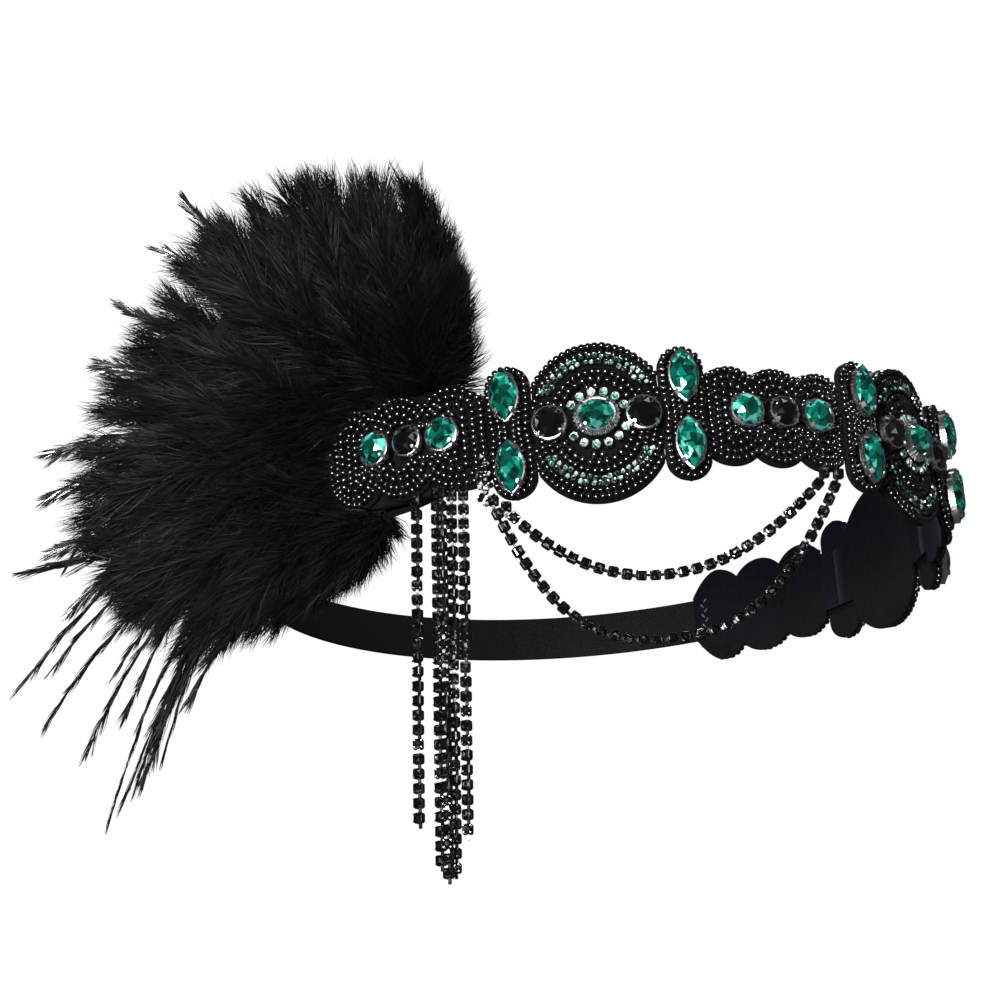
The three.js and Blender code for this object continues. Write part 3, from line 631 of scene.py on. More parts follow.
for index, centre in enumerate(PLAQUE_PLACES, 1):
    across = (PLAQUE_HEIGHT / 2 + 0.2 * MM) * np.sin(np.linspace(-0.97, 0.97, 40) * math.pi / 2)
    half = plaque_half(across) + 0.25 * MM
    share = np.linspace(-1, 1, 9)
    layers = []
    for widths, height in ((half, 0), (half, PLAQUE_FELT * 0.8), (half * 0.94, PLAQUE_FELT)):
        run = centre + widths[:, None] * share[None]
        layers.append(place(run, across[:, None], PLAQUE_FLOOR + height))
    points = np.concatenate([layer.reshape(-1, 3) for layer in layers])
    rows, columns = len(across), len(share)
    at = lambda layer, row, column: layer * rows * columns + row * columns + column
    faces = []
    for row in range(rows - 1):
        for column in range(columns - 1):
            faces.append(tuple(at(0, row + down, column + over) for down, over in CORNERS))
            faces.append(tuple(at(2, row + down, column + over) for over, down in CORNERS))
        for layer in (0, 1):
            for column, flip in ((0, False), (columns - 1, True)):
                face = (at(layer, row, column), at(layer + 1, row, column),
                        at(layer + 1, row + 1, column), at(layer, row + 1, column))
                faces.append(face[::-1] if flip else face)
    for layer in (0, 1):
        for column in range(columns - 1):
            for row, flip in ((0, True), (rows - 1, False)):
                face = (at(layer, row, column), at(layer + 1, row, column),
                        at(layer + 1, row, column + 1), at(layer, row, column + 1))
                faces.append(face[::-1] if flip else face)
    add_piece(f"plaque_felt_{index}", points, faces, velvet.material, "felt", [f"plaque_{index}"])
    field = BeadField(centre, flat_floor)
    seat = PLAQUE_FLOOR + PLAQUE_FELT
    stones = [
        (0, side * POINTED_STONE_PITCH / 2,
         POINTED_STONE[0] / 2 - 0.5 * MM, POINTED_STONE[1] / 2 - 0.4 * MM, 1.35)
        for side in (-1, 1)
    ]
    field.row(plaque_path(0.75 * MM), seat=seat)
    field.row(plaque_path(2.5 * MM), SMALL_BEAD, SMALL_BEAD_PITCH, seat=seat + INNER_BEADS_UP, stones=stones)
    field.row(plaque_path(4.0 * MM), SMALL_BEAD, SMALL_BEAD_PITCH, seat=seat + INNER_BEADS_UP, stones=stones)
    field.row([(-3.2 * MM, 0), (3.2 * MM, 0)], SMALL_BEAD, SMALL_BEAD_PITCH, seat=seat + INNER_BEADS_UP)
    field.add(f"plaque_beads_{index}")


# Every stone is pressed acrylic with flat facets over a foiled back. The light and dark shards of
# green inside it and its bright mint facets are painted reflections and painted glints in its colour.
# It sits in a thin silver cup whose claws fold over its edge.
SETTING_DEPTH = 1.7 * MM
STONE_DEPTH = 3.5 * MM
OVAL_STONE_DEPTH = 4.4 * MM
TOP = FELT + 2.2 * MM
GEM_SIDES = 16
TABLE = 0.5
POINTED_TABLE = 0.45
# Pointed stones take dimmer painted glints.
DIM_PAINTED_GLINT = 0.8
CUP_WALL = 0.22 * MM
CLAW_WIDTH = 0.95 * MM
CLAW_THICK = 0.28 * MM

green_foil = Finish("green_foiled_stone")
# Voronoi cells and each facet's painted glint value mix into painted reflections of light and dark green; the
# mint top of the ramp is a painted highlight.
shards = green_foil.where.node("ShaderNodeTexVoronoi", output=1, Vector=green_foil.where, Scale=560.0)
shard_value = shards.node("ShaderNodeSeparateColor", Color=shards)
painted_facet_light = shard_value * 0.45 + green_foil.attribute("spark") * 0.55
green_foil.set(
    base_color=painted_facet_light.ramp(
        (0.15, (0.0, 0.012, 0.008)),
        (0.42, (0.0, 0.085, 0.058)),
        (0.62, (0.0, 0.28, 0.2)),
        (0.82, (0.2, 0.9, 0.74)),
    ),
    metallic=0.35,
    roughness=0.09,
    coat_weight=1.0,
    coat_roughness=0.02,
    specular_ior_level=0.7,
)

black_foil = Finish("black_cut_stone")
# Each facet's painted glint value sets its brightness: the small steps are painted facet shading and the rare
# grey-white top is a painted reflection, over the stone's own black.
black_foil.set(
    base_color=black_foil.attribute("spark").ramp(
        (0.35, (0.001, 0.001, 0.0015)), (0.6, (0.003, 0.003, 0.004)), (0.85, (0.012, 0.012, 0.014)),
        (0.98, (0.2, 0.2, 0.22)),
    ),
    metallic=0.2,
    roughness=0.1,
    coat_weight=1.0,
    coat_roughness=0.02,
    specular_ior_level=0.7,
)

silver = Finish("silver_setting")
silver.set(
    base_color=silver.noise(500.0).ramp((0.3, (0.6, 0.6, 0.61)), (0.75, (0.92, 0.92, 0.93))),
    metallic=1.0,
    roughness=(silver.noise(900.0) * 0.2 + 0.13),
)


gunmetal = Finish("gunmetal_cup")
gunmetal.set(
    base_color=gunmetal.noise(500.0).ramp((0.3, (0.04, 0.04, 0.044)), (0.8, (0.2, 0.2, 0.215))),
    metallic=1.0,
    roughness=(gunmetal.noise(900.0) * 0.2 + 0.16),
)


def outline_of(kind, size):
    """A stone's outline as a function of a share of the way round."""
    wide, high = size
    if kind == "pointed":
        radius = (high ** 2 + wide ** 2) / (4 * wide)
        half_turn = math.asin(high / 2 / radius)

        def outline(share):
            share = np.asarray(share) % 1
            side = np.where(share < 0.5, 1, -1)
            turn = half_turn * (4 * (share % 0.5) - 1)
            return side * (wide / 2 - radius + radius * np.cos(turn)), side * radius * np.sin(turn)

        return outline
    return lambda share: (
        wide / 2 * np.cos(2 * math.pi * np.asarray(share)),
        high / 2 * np.sin(2 * math.pi * np.asarray(share)),
    )


def gem_shape(outline, girdle, depth, table, sides=GEM_SIDES):
    """A cut stone: a girdle, a ring of triangular facets, a ring of kites and a flat table."""
    half = sides // 2
    lower = np.arange(sides) / sides
    rings = [
        (lower, 1.0, girdle - 0.5 * MM),
        (lower, 1.0, girdle),
        ((2 * np.arange(half) + 1) / sides, 0.83, girdle + 0.5 * (depth - girdle)),
        (2 * np.arange(half) / sides, table, depth),
    ]
    points = []
    for shares, size, height in rings:
        x, y = outline(shares)
        points.append(np.stack([x * size, y * size, np.full(len(shares), height)], -1))
    points = np.concatenate(points)
    edge, middle, top = sides, 2 * sides, 2 * sides + half
    faces = [(i, (i + 1) % sides, edge + (i + 1) % sides, edge + i) for i in range(sides)]
    for i in range(half):
        before = (i - 1) % half
        after = (i + 1) % half
        faces.append((edge + 2 * i, edge + 2 * i + 1, middle + i))
        faces.append((edge + 2 * i + 1, edge + (2 * i + 2) % sides, middle + i))
        faces.append((edge + 2 * i, middle + i, middle + before))
        faces.append((middle + before, middle + i, top + i))
        faces.append((middle + i, top + after, top + i))
    faces.append(tuple(top + i for i in range(half)))
    return points, faces


def cup_shape(outline, height, steps=32):
    """A thin metal cup round a stone, with its rim turned in."""
    shares = np.arange(steps) / steps
    x, y = outline(shares)
    size = np.hypot(x, y)
    points = []
    for out, level in ((0, 0), (CUP_WALL, 0.3 * MM), (CUP_WALL, height), (-0.12 * MM, height + 0.12 * MM)):
        grow = (size + out) / size
        points.append(np.stack([x * grow, y * grow, np.full(steps, level)], -1))
    faces = rings_joined(len(points), steps) + [tuple(reversed(range(steps)))]
    return np.concatenate(points), faces


def claw_shape(outline, share, girdle, width=CLAW_WIDTH):
    """A claw that rises outside the cup and folds over the stone's edge."""
    x, y = outline(share)
    here = np.array([float(x), float(y)])
    ahead = np.array([float(v) for v in outline(share + 0.01)])
    along = (ahead - here) / np.linalg.norm(ahead - here)
    out = np.array([along[1], -along[0]])
    path = [(0.2, 0.2), (0.3, girdle / MM * 0.7), (0.24, girdle / MM + 0.25), (-0.35, girdle / MM + 0.85),
            (-0.8, girdle / MM + 1.0)]
    points = []
    for index, (outer, level) in enumerate(path):
        taper = 0.5 if index == len(path) - 1 else 1
        for side, lifted in ((-1, 0), (1, 0), (0.8, 1), (-0.8, 1)):
            spot = here + out * (outer * MM + lifted * CLAW_THICK * (1 if index < 3 else 0.4))
            spot = spot + along * side * width / 2 * taper
            points.append((*spot, level * MM + lifted * CLAW_THICK * (0 if index < 3 else 0.9)))
    end = len(points) - 4
    faces = rings_joined(len(path), 4) + [(end, end + 1, end + 2, end + 3)]
    return np.array(points), faces


def crown_shape(outline, height, teeth=30):
    """A fluted crown that flares round a raised stone."""
    shares = np.arange(teeth * 4) / (teeth * 4)
    x, y = outline(shares)
    size = np.hypot(x, y)
    flute = 0.14 * MM * np.sign(np.sin(shares * teeth * 2 * math.pi + 0.4))
    points, steps = [], teeth * 4
    for out, level, share in (
        (1.25, 0.05, 0.6), (1.15, 0.5, 1), (0.45, 1.0, 1), (0.2, 1.12, 0.3), (-0.1, 1.1, 0),
    ):
        grow = (size + out * MM + flute * share) / size
        points.append(np.stack([x * grow, y * grow, np.full(steps, level * height)], -1))
    faces = rings_joined(len(points), steps) + [tuple(reversed(range(steps)))]
    return np.concatenate(points), faces


def seated(points, along, across, above):
    """Points of a small flat-backed thing, set on the band with its back down."""
    at, way = np.array([[along, across]]), np.array([[1.0, 0.0]])
    centre, forward, outward = on_band(at, way, above)
    sideways = worn(np.array([0, 0, 1.0]))
    axes = np.stack([forward[0], sideways, outward[0]])
    return centre[0] + np.asarray(points) @ axes


# The table's even painted glint value, so it shows no painted flash.
TABLE_PAINTED_GLINT = 0.4


def spark(piece, high=1.0):
    """A random painted glint brightness for each facet, and an even one for the table."""
    values = rng.uniform(0, high, len(piece.data.polygons))
    values[-1] = TABLE_PAINTED_GLINT
    set_values(piece.data, "spark", values)


def add_stone(node, kind, size, depth, table, paint, slot, along, across, above, claws, crown=False):
    outline = outline_of(kind, (size[0] - 2 * CUP_WALL, size[1] - 2 * CUP_WALL))
    points, faces = gem_shape(outline, SETTING_DEPTH, depth, table)
    stone = add_piece("cut_" + node, seated(points, along, across, above), faces, paint.material, slot,
                      [node], smooth=False)
    spark(stone, high=DIM_PAINTED_GLINT if kind == "pointed" else 1.0)
    parts = [cup_shape(outline, SETTING_DEPTH)]
    parts += [crown_shape(outline, SETTING_DEPTH)] if crown else []
    claw_width = CLAW_WIDTH * (1.5 if kind == "pointed" else 1)
    parts += [claw_shape(outline, share, SETTING_DEPTH, claw_width) for share in claws]
    points, faces = join(parts)
    add_piece("setting_" + node, seated(points, along, across, above), faces, silver.material, "metal",
              smooth=False)


FOUR_CLAWS = (0.125, 0.375, 0.625, 0.875)
TIP_CLAWS = (0.1, 0.4, 0.6, 0.9)
REAR_LOW_STONE = 1.1 * MM
OVAL_RAISED = 0.5 * MM
POINTED_SEAT = 2.8 * MM
lifted_top = FEATHER_LIFT + FELT + SEAT_GAP + TOP + SEAT_GAP
for index, (centre, above) in enumerate((
    (END_PANEL, lifted_top), (LINK, TOP + SEAT_GAP), (-LINK, TOP + SEAT_GAP), (-END_PANEL, TOP + SEAT_GAP),
)):
    right_end = index == 0
    middle = centre + (END_STONE_SHIFT if right_end else 0)
    for number, side in ((2 * index + 1, 1), (2 * index + 2, -1)):
        along = middle + side * (END_STONE_PITCH if right_end else LINK_STONE_PITCH)
        add_stone(f"round_stone_{number}", "oval", (ROUND_STONE, ROUND_STONE), STONE_DEPTH, TABLE, green_foil,
                  "green_stone", along, sway(along) if right_end else 0, above, FOUR_CLAWS)
    add_stone(f"black_stone_{index + 1}", "oval", (LINK_BLACK_STONE, LINK_BLACK_STONE), STONE_DEPTH, TABLE,
              black_foil, "black_stone", middle, sway(middle) if right_end else 0, above, FOUR_CLAWS)
for index, centre in enumerate((SIDE_MEDALLION, 0.0, -SIDE_MEDALLION)):
    above = TOP + SEAT_GAP
    add_stone(f"oval_stone_{index + 1}", "oval", OVAL_STONE, OVAL_STONE_DEPTH, TABLE, green_foil,
              "green_stone", centre, OVAL_RAISED, above, FOUR_CLAWS, crown=True)
    for number, side in ((2 * index + 5, 1), (2 * index + 6, -1)):
        add_stone(f"black_stone_{number}", "oval", (MEDALLION_BLACK_STONE, MEDALLION_BLACK_STONE),
                  STONE_DEPTH, TABLE, black_foil, "black_stone", centre + side * MEDALLION_STONE_PITCH, 0,
                  above, FOUR_CLAWS)
for index, centre in enumerate(PLAQUE_PLACES):
    above = PLAQUE_FLOOR + POINTED_SEAT + SEAT_GAP
    for number, side in ((2 * index + 1, 1), (2 * index + 2, -1)):
        lower = REAR_LOW_STONE if number == 2 else 0
        add_stone(f"pointed_stone_{number}", "pointed", POINTED_STONE, STONE_DEPTH, POINTED_TABLE, green_foil,
                  "green_stone", centre, side * POINTED_STONE_PITCH / 2 - lower, above, TIP_CLAWS)

# Small rhinestones in silver cups make two bands on each medallion, above and below its middle,
# and a ring of larger ones goes round the oval stone. Their mint and near-white tones are painted glints.
BAND_STONE = 1.55 * MM
RING_STONE = 2.3 * MM
RING_OVAL = (14.0 * MM, 13.4 * MM)
RING_PITCH = 2.7 * MM
RING_GAP_HALF = 2.6 * MM
BAND_SEAT = FELT + 1.3 * MM
RING_SEAT = FELT + 1.7 * MM
BAND_INSETS = (3.75 * MM, 5.2 * MM)


def small_stone_shapes():
    """A unit rhinestone and its cup with four little claws."""
    gem_points, gem_faces = gem_shape(outline_of("oval", (0.82, 0.82)), 0.36, 0.62, 0.5, sides=8)
    turns = np.arange(8) * math.pi / 4
    ring = lambda radius, height: np.stack(
        [radius * np.cos(turns), radius * np.sin(turns), 0 * turns + height], -1)
    cup_points = np.concatenate([ring(0.42, 0), ring(0.5, 0.3), ring(0.47, 0.44), ring(0.4, 0.42)])
    parts = [(cup_points, rings_joined(4, 8))]
    for turn in (45, 135, 225, 315):
        c, s = math.cos(math.radians(turn)), math.sin(math.radians(turn))
        base = np.array([(0.36, -0.1), (0.52, -0.1), (0.52, 0.1), (0.36, 0.1)])
        x, y = base.T
        low = np.stack([x * c - y * s, x * s + y * c, 0 * x + 0.3], -1)
        high = low * [0.92, 0.92, 1] + [0, 0, 0.26]
        parts.append((np.concatenate([low, high]), CAPPED_POST))
    return (gem_points, gem_faces), join(parts)


small_gem, small_cup = small_stone_shapes()


def triangles_of(faces):
    return np.array([(face[0], face[i], face[i + 1]) for face in faces for i in range(1, len(face) - 1)])


rhinestone = Finish("small_rhinestone")
# The mint and near-white top of this ramp is a painted glint on the small stones.
rhinestone.set(
    base_color=rhinestone.attribute("tone").ramp(
        (0.0, (0.0, 0.004, 0.003)),
        (0.3, (0.0, 0.06, 0.04)),
        (0.55, (0.03, 0.4, 0.28)),
        (0.7, (0.3, 0.8, 0.65)),
        (0.9, (0.9, 0.97, 0.95)),
    ),
    metallic=0.4,
    roughness=0.08,
    coat_weight=1.0,
    coat_roughness=0.02,
)


def add_small_stones(name, at, way, above, sizes, tones, metal=silver):
    """Small rhinestones and their cups at flat places, as two joined pieces."""
    centres, forward, outward = on_band(at, way, above)
    for part, shape, paint, slot in (
        ("stones", small_gem, rhinestone, "green_stone"), ("cups", small_cup, metal, "metal"),
    ):
        shape = (shape[0], triangles_of(shape[1]))
        points, faces = scatter(shape, centres, forward, outward, sizes)
        piece = add_piece(f"{name}_{part}", points, faces, paint.material, slot, smooth=False)
        if part == "stones":
            per_face = np.repeat(tones, len(shape[1])) + rng.normal(0, 0.3, len(faces))
            set_values(piece.data, "tone", np.clip(per_face, 0, 1))


for name, centre in (("centre", 0.0), ("right", SIDE_MEDALLION), ("left", -SIDE_MEDALLION)):
    spots, ways = [], []
    for inset in BAND_INSETS:
        path = oval_path(MEDALLION_OVAL - 2 * inset, MEDALLION_HEIGHT - 2 * inset)
        at, way = even_points(path, BAND_STONE * 1.03)
        keep = (np.abs(at[:, 1]) > BAND_CLEAR) & (np.abs(at[:, 0]) < MEDALLION_LENGTH / 2)
        spots.append(at[keep])
        ways.append(way[keep])
    at, way = np.concatenate(spots), np.concatenate(ways)
    turn = rng.uniform(0, 1.5, len(at))
    way = np.stack([way[:, 0] * np.cos(turn) - way[:, 1] * np.sin(turn),
                    way[:, 0] * np.sin(turn) + way[:, 1] * np.cos(turn)], -1)
    at[:, 0] += centre
    at += rng.normal(0, 0.12 * MM, at.shape)
    # Tones 0.7 and 0.95 give mint and near-white stones: painted glints.
    tones = rng.choice([0.02, 0.2, 0.45, 0.7, 0.95], len(at), p=[0.42, 0.22, 0.12, 0.12, 0.12])
    sizes = BAND_STONE * rng.uniform(0.82, 1.05, len(at))
    add_small_stones(f"band_{name}", at, way, BAND_SEAT, sizes, tones, gunmetal)
    at, way = even_points(oval_path(*RING_OVAL), RING_PITCH)
    keep = np.abs(at[:, 1]) > RING_GAP_HALF
    at, way = at[keep], way[keep]
    at[:, 0] += centre
    # Ring stones are mostly light: their mint and near-white tones are painted glints.
    tones = rng.choice([0.5, 0.75, 0.95], len(at), p=[0.3, 0.4, 0.3])
    add_small_stones(f"ring_{name}", at, way, RING_SEAT, RING_STONE, tones)

# The elastic is a black woven strap with a twill face. Its ends are sewn under the end panel and
# behind the plume with grey thread.
ELASTIC_WIDTH = 12 * MM
ELASTIC_THICK = 1 * MM
ELASTIC_FLOOR = PATCH["thick"] + SEAT_GAP
ELASTIC_START = END_PANEL + 11 * MM + SEAT_GAP
ELASTIC_END = HEAD_ROUND - END_PANEL - END_LENGTH / 2 + 8 * MM
TWILL = 0.9 * MM

twill = Finish("elastic_twill")
along_strap = twill.attribute("run")
up_strap = twill.attribute("rise")
diagonal = ((along_strap + up_strap * 1.1) * (2 * math.pi / TWILL)).maths("SINE") * 0.5 + 0.5
threads = ((along_strap - up_strap * 0.4) * (2 * math.pi / (TWILL * 0.45))).maths("SINE") * 0.5 + 0.5
weave = diagonal * 0.7 + threads * 0.3
twill.set(
    base_color=(weave * 0.7 + twill.noise(1200.0) * 0.3).ramp((0.2, (0.002, 0.002, 0.003)),
                                                            (0.9, (0.016, 0.015, 0.019))),
    roughness=(weave * 0.2 + 0.7),
    specular_ior_level=0.12,
    sheen_weight=0.02,
    sheen_roughness=0.35,
    normal=weave.bump(0.6, 0.2 * MM),
)
runs = np.linspace(ELASTIC_START, ELASTIC_END, 260)
section = [(-1, 0.12), (-0.97, 0), (0, 0), (0.97, 0), (1, 0.12),
           (1, 0.88), (0.97, 1), (0, 1), (-0.97, 1), (-1, 0.88)]
rises = np.array([rise for rise, _ in section]) * ELASTIC_WIDTH / 2
levels = ELASTIC_FLOOR + np.array([level for _, level in section]) * ELASTIC_THICK
strap_share = (runs - ELASTIC_START) / (ELASTIC_END - ELASTIC_START)
slack = 1.6 * MM * np.sin(math.pi * strap_share)
points = place(runs[:, None], rises[None] + slack[:, None], levels[None]).reshape(-1, 3)
sides = len(section)
faces = rings_joined(len(runs), sides)
faces += [tuple(range(sides)), tuple(reversed(range(len(points) - sides, len(points))))]
strap = add_piece("elastic_strap", points, faces, twill.material, "elastic", ["elastic_band"], smooth=False)
set_values(strap.data, "run", np.repeat(runs, sides), "POINT")
set_values(strap.data, "rise", np.tile(rises, len(runs)), "POINT")

thread = Finish("grey_thread")
thread.set(
    base_color=thread.noise(2500.0).ramp((0.3, (0.06, 0.06, 0.065)), (0.8, (0.2, 0.2, 0.21))),
    roughness=0.7,
    sheen_weight=0.2,
)


def stitch_shape():
    """A unit stitch: a short round thread that dips at both ends."""
    turns = np.arange(6) * math.pi / 3
    rings = ((-0.5, 0.04, -0.06), (-0.3, 0.13, 0.04), (0.3, 0.13, 0.04), (0.5, 0.04, -0.06))
    points = [(x, width * math.cos(turn), width * math.sin(turn) + level)
              for x, width, level in rings for turn in turns]
    return np.array(points), np.array(rings_joined(4, 6))


def add_stitches(name, at, way, above, outside, size=1.5 * MM):
    """A seam of stitches at flat places, on the outer or the inner face of the band."""
    centres, forward, outward = on_band(np.asarray(at, float), np.asarray(way, float), above)
    points, faces = scatter(stitch_shape(), centres, forward, outward if outside else -outward, size)
    add_piece(name, points, faces, thread.material, "elastic")


STITCHES = 8
SEAM_HALF = 5
seam = -END_PANEL - END_LENGTH / 2 + 3 * MM
rise = np.linspace(-SEAM_HALF, SEAM_HALF, STITCHES) * MM
odd = np.arange(STITCHES) % 2
at = np.stack([seam + np.where(odd, 0.5, -0.5) * MM, rise], -1)
way = np.stack([np.where(odd, 0.6, -0.6), np.full(STITCHES, 0.8)], -1)
add_stitches("left_end_stitches", at, way, -0.02 * MM, False)

# Rhinestone chains are square gunmetal cups with black cut stones, joined by short links. Five
# strands hang straight down under the end panel, and two swags hang along the side.
CHAIN_WIDTH = 2.5 * MM
CHAIN_PITCH = 3.45 * MM
FRINGE = [
    {"ahead": 3.2, "off": 0, "length": 79.5, "drift": 0.018},
    {"ahead": 8.5, "off": 0, "length": 91.5, "drift": 0.021},
    {"ahead": 10.7, "off": 2.5, "length": 94, "drift": 0.029},
    {"ahead": 12.2, "off": 0, "length": 92, "drift": 0.018},
    {"ahead": 14.9, "off": 0, "length": 83, "drift": 0.018},
]
SWAGS = [
    {"name": "swag_inner", "rear": 2.6, "front": 10.4, "sag": 22, "roundness": 2.1},
    {"name": "swag_outer", "rear": 5.6, "front": 14.6, "sag": 38.5, "roundness": 2.6},
]
SWAG_DROP = 2 * MM
SWAG_ABOVE = 2.9 * MM
HAND_TWIST = 0.16
SLOW_TWIST = 0.25

def chain_cup_shapes():
    """One cup with its link, and its stone, one pitch of chain along X and facing Z."""
    half, corner = 0.5, 0.36
    ring8 = np.array([(half, corner), (corner, half), (-corner, half), (-half, corner),
                      (-half, -corner), (-corner, -half), (corner, -half), (half, -corner)])
    flat = lambda size, height: np.column_stack([ring8 * size, np.full(8, height)])
    cup_points = np.concatenate([flat(0.8, -0.42), flat(1.0, -0.3), flat(1.0, 0.2), flat(0.86, 0.26)])
    parts = [(cup_points, rings_joined(4, 8) + [tuple(reversed(range(8)))])]
    for x, y in ((0.4, 0.4), (-0.4, 0.4), (-0.4, -0.4), (0.4, -0.4)):
        spot = np.array([(x * f, y * g, z) for z in (0.1, 0.42) for f, g in
                         ((0.72, 0.72), (1.16, 0.84), (1.16, 1.16), (0.84, 1.16))])
        spot[4:, :2] *= 0.86
        parts.append((spot, CAPPED_POST))
    link = np.array([(x, y, z) for x in (0.42, 0.98) for y in (-0.14, 0.14) for z in (-0.34, -0.14)])
    parts.append((link, [(0, 1, 3, 2), (4, 6, 7, 5), (0, 4, 5, 1), (2, 3, 7, 6), (0, 2, 6, 4), (1, 5, 7, 3)]))
    cup_points, cup_faces = join(parts)
    gem_points, gem_faces = gem_shape(outline_of("oval", (0.9, 0.9)), 0.18, 0.44, 0.55, sides=8)
    return (gem_points, triangles_of(gem_faces)), (cup_points, triangles_of(cup_faces))


chain_gem, chain_cup = chain_cup_shapes()


def add_chain(name, route, facing, node):
    """A rhinestone chain along a route, with every cup turned a little by hand."""
    run = np.concatenate([[0], np.cumsum(np.linalg.norm(np.diff(route, axis=0), axis=1))])
    count = int(round((run[-1] - CHAIN_WIDTH * 0.8) / CHAIN_PITCH)) + 1
    spots = np.linspace(CHAIN_WIDTH * 0.45, run[-1] - CHAIN_WIDTH * 0.45, count)
    centres = sample(route, run, spots)
    forward = sample(route, run, spots + 0.3 * MM) - sample(route, run, spots - 0.3 * MM)
    forward = unit(forward)
    facing = np.broadcast_to(facing, centres.shape)
    twist = rng.normal(0, HAND_TWIST, count) + SLOW_TWIST * np.sin(np.arange(count) * 0.5 + rng.uniform(0, 6))
    side = np.cross(forward, facing)
    facing = facing * np.cos(twist)[:, None] + side * np.sin(twist)[:, None]
    points, faces = scatter(chain_cup, centres, forward, facing, CHAIN_WIDTH)
    add_piece(name + "_cups", points, faces, gunmetal.material, "metal", [node], smooth=False)
    points, faces = scatter(chain_gem, centres, forward, facing, CHAIN_WIDTH)
    stones = add_piece(name + "_stones", points, faces, black_foil.material, "black_stone", smooth=False)
    spark(stones)


# Where the swags start, small cups gather along the rear plaque's foot.
FOOT_STONE = 1.6 * MM
FOOT_SEAT = FELT + 2.4 * MM
at = np.array([
    (REAR_PLAQUE + 5.6 * MM + 1.3 * MM * (row % 2) + 0.7 * MM * column,
     -(3.6 + 1.5 * row + 0.7 * column) * MM)
    for row in range(9)
    for column in range(3)
])
at[:, 0] += rng.normal(0, 0.3 * MM, len(at))
way = rng.normal(0, 1, at.shape)
way = unit(way)
# Half these stones get the near-white top of the ramp as painted glints; the other half are dark.
tones = rng.choice([-0.6, 1.2], len(at), p=[0.5, 0.5])
add_small_stones("swag_foot", at, way, FOOT_SEAT, FOOT_STONE, tones, gunmetal)

for index, strand in enumerate(FRINGE, 1):
    ahead = strand["ahead"] * MM
    along = END_PANEL - ahead
    edge = scallop_half(np.array(-ahead), END_LENGTH, END_HEIGHT)
    above = lift(along) + FEATHER_FELT["thick"] + 2 * SEAT_GAP + CHAIN_WIDTH / 2 + strand["off"] * MM
    across = -edge - 2 * SEAT_GAP - CHAIN_WIDTH / 2 * math.tan(WORN_TILT) + sway(along)
    top = place(along, across, above)
    drop = np.linspace(0, strand["length"] * MM, 60)
    ahead_way = np.cross([0, 0, 1.0], outwards(along))
    route = top[None] - np.array([0, 0, 1.0]) * drop[:, None] + ahead_way * strand["drift"] * drop[:, None]
    add_chain(f"fringe_chain_{index}", route, worn(outwards(along)), f"fringe_strand_{index}")

for swag in SWAGS:
    rear, front = swag["rear"] * MM, swag["front"] * MM
    inset = max(rear - CHAIN_WIDTH / 2, 0)
    foot = PLAQUE_HEIGHT / 2 - PLAQUE_WIDTH / 2 + math.sqrt((PLAQUE_WIDTH / 2) ** 2 - inset ** 2)
    rear_end = place(REAR_PLAQUE + rear, -foot - 2 * SEAT_GAP, SWAG_ABOVE)
    edge = scallop_half(np.array(-front), LINK_LENGTH, LINK_HEIGHT)
    front_end = place(LINK - front, -edge - 2 * SEAT_GAP, SWAG_ABOVE)
    share = np.linspace(0, 1, 121)[:, None]
    hang = rear_end * (1 - share) + front_end * share
    bow = 1 - np.abs(2 * share[:, 0] - 1) ** swag["roundness"]
    hang[:, 2] -= SWAG_DROP + (swag["sag"] * MM - SWAG_DROP) * bow
    route = np.concatenate([rear_end[None], hang, front_end[None]])
    chord = front_end - rear_end
    facing = np.cross(chord, [0, 0, 1.0])
    facing *= -np.sign(facing @ (-(rear_end + front_end))) / np.linalg.norm(facing)
    add_chain(swag["name"], route, facing, swag["name"])

# The plume is a fan of dyed marabou feathers, sewn by their quills between the felts. Their down is
# soft and clumps a little. Glossy coque feathers stand out behind, and thin hackles hang below.
PLUME_REACH = 84 * MM
PLUME_HALF_THICK = 11 * MM
ROOT_ABOVE = FEATHER_LIFT - 0.65 * MM
ROOT_RAISED = 0.9 * MM
QUILL_TUCK = 3 * MM
LOCKS = np.array([
    # angle, reach, thickness, flare, droop
    (-55, 0.36, 0.35, 4, 0.02),
    (-42, 0.58, 0.55, 10, 0.06),
    (-32, 0.86, 0.8, 14, 0.1),
    (-22, 0.92, 0.95, 16, 0.08),
    (-12, 0.97, 1.05, 17, 0.08),
    (-1, 1.03, 1.1, 18, 0.07),
    (10, 1.04, 1.15, 19, 0.06),
    (22, 0.99, 1.2, 20, 0.05),
    (34, 0.95, 1.2, 20, 0.05),
    (45, 0.92, 1.2, 20, 0.04),
    (57, 0.94, 1.15, 20, 0.02),
    (68, 0.93, 1.1, 19, 0.01),
    (78, 0.9, 1.05, 18, 0),
    (88, 0.86, 1, 17, 0),
    (98, 0.82, 0.95, 16, 0),
    (109, 0.8, 0.85, 15, 0),
    (119, 0.63, 0.7, 12, 0),
    (130, 0.47, 0.4, 8, 0),
])
lock_angle, lock_reach, lock_thick, lock_flare, lock_droop = LOCKS.T
edge_back = lock_reach * np.cos(np.radians(lock_angle))
edge_up = lock_reach * np.sin(np.radians(lock_angle)) - lock_droop
edge_angle = np.degrees(np.arctan2(edge_up, edge_back))
edge_reach = np.hypot(edge_back, edge_up) * PLUME_REACH
edge_angle = np.concatenate([[edge_angle[0] - 14], edge_angle, [edge_angle[-1] + 12]])
edge_reach = np.concatenate([[20 * MM], edge_reach, [26 * MM]])

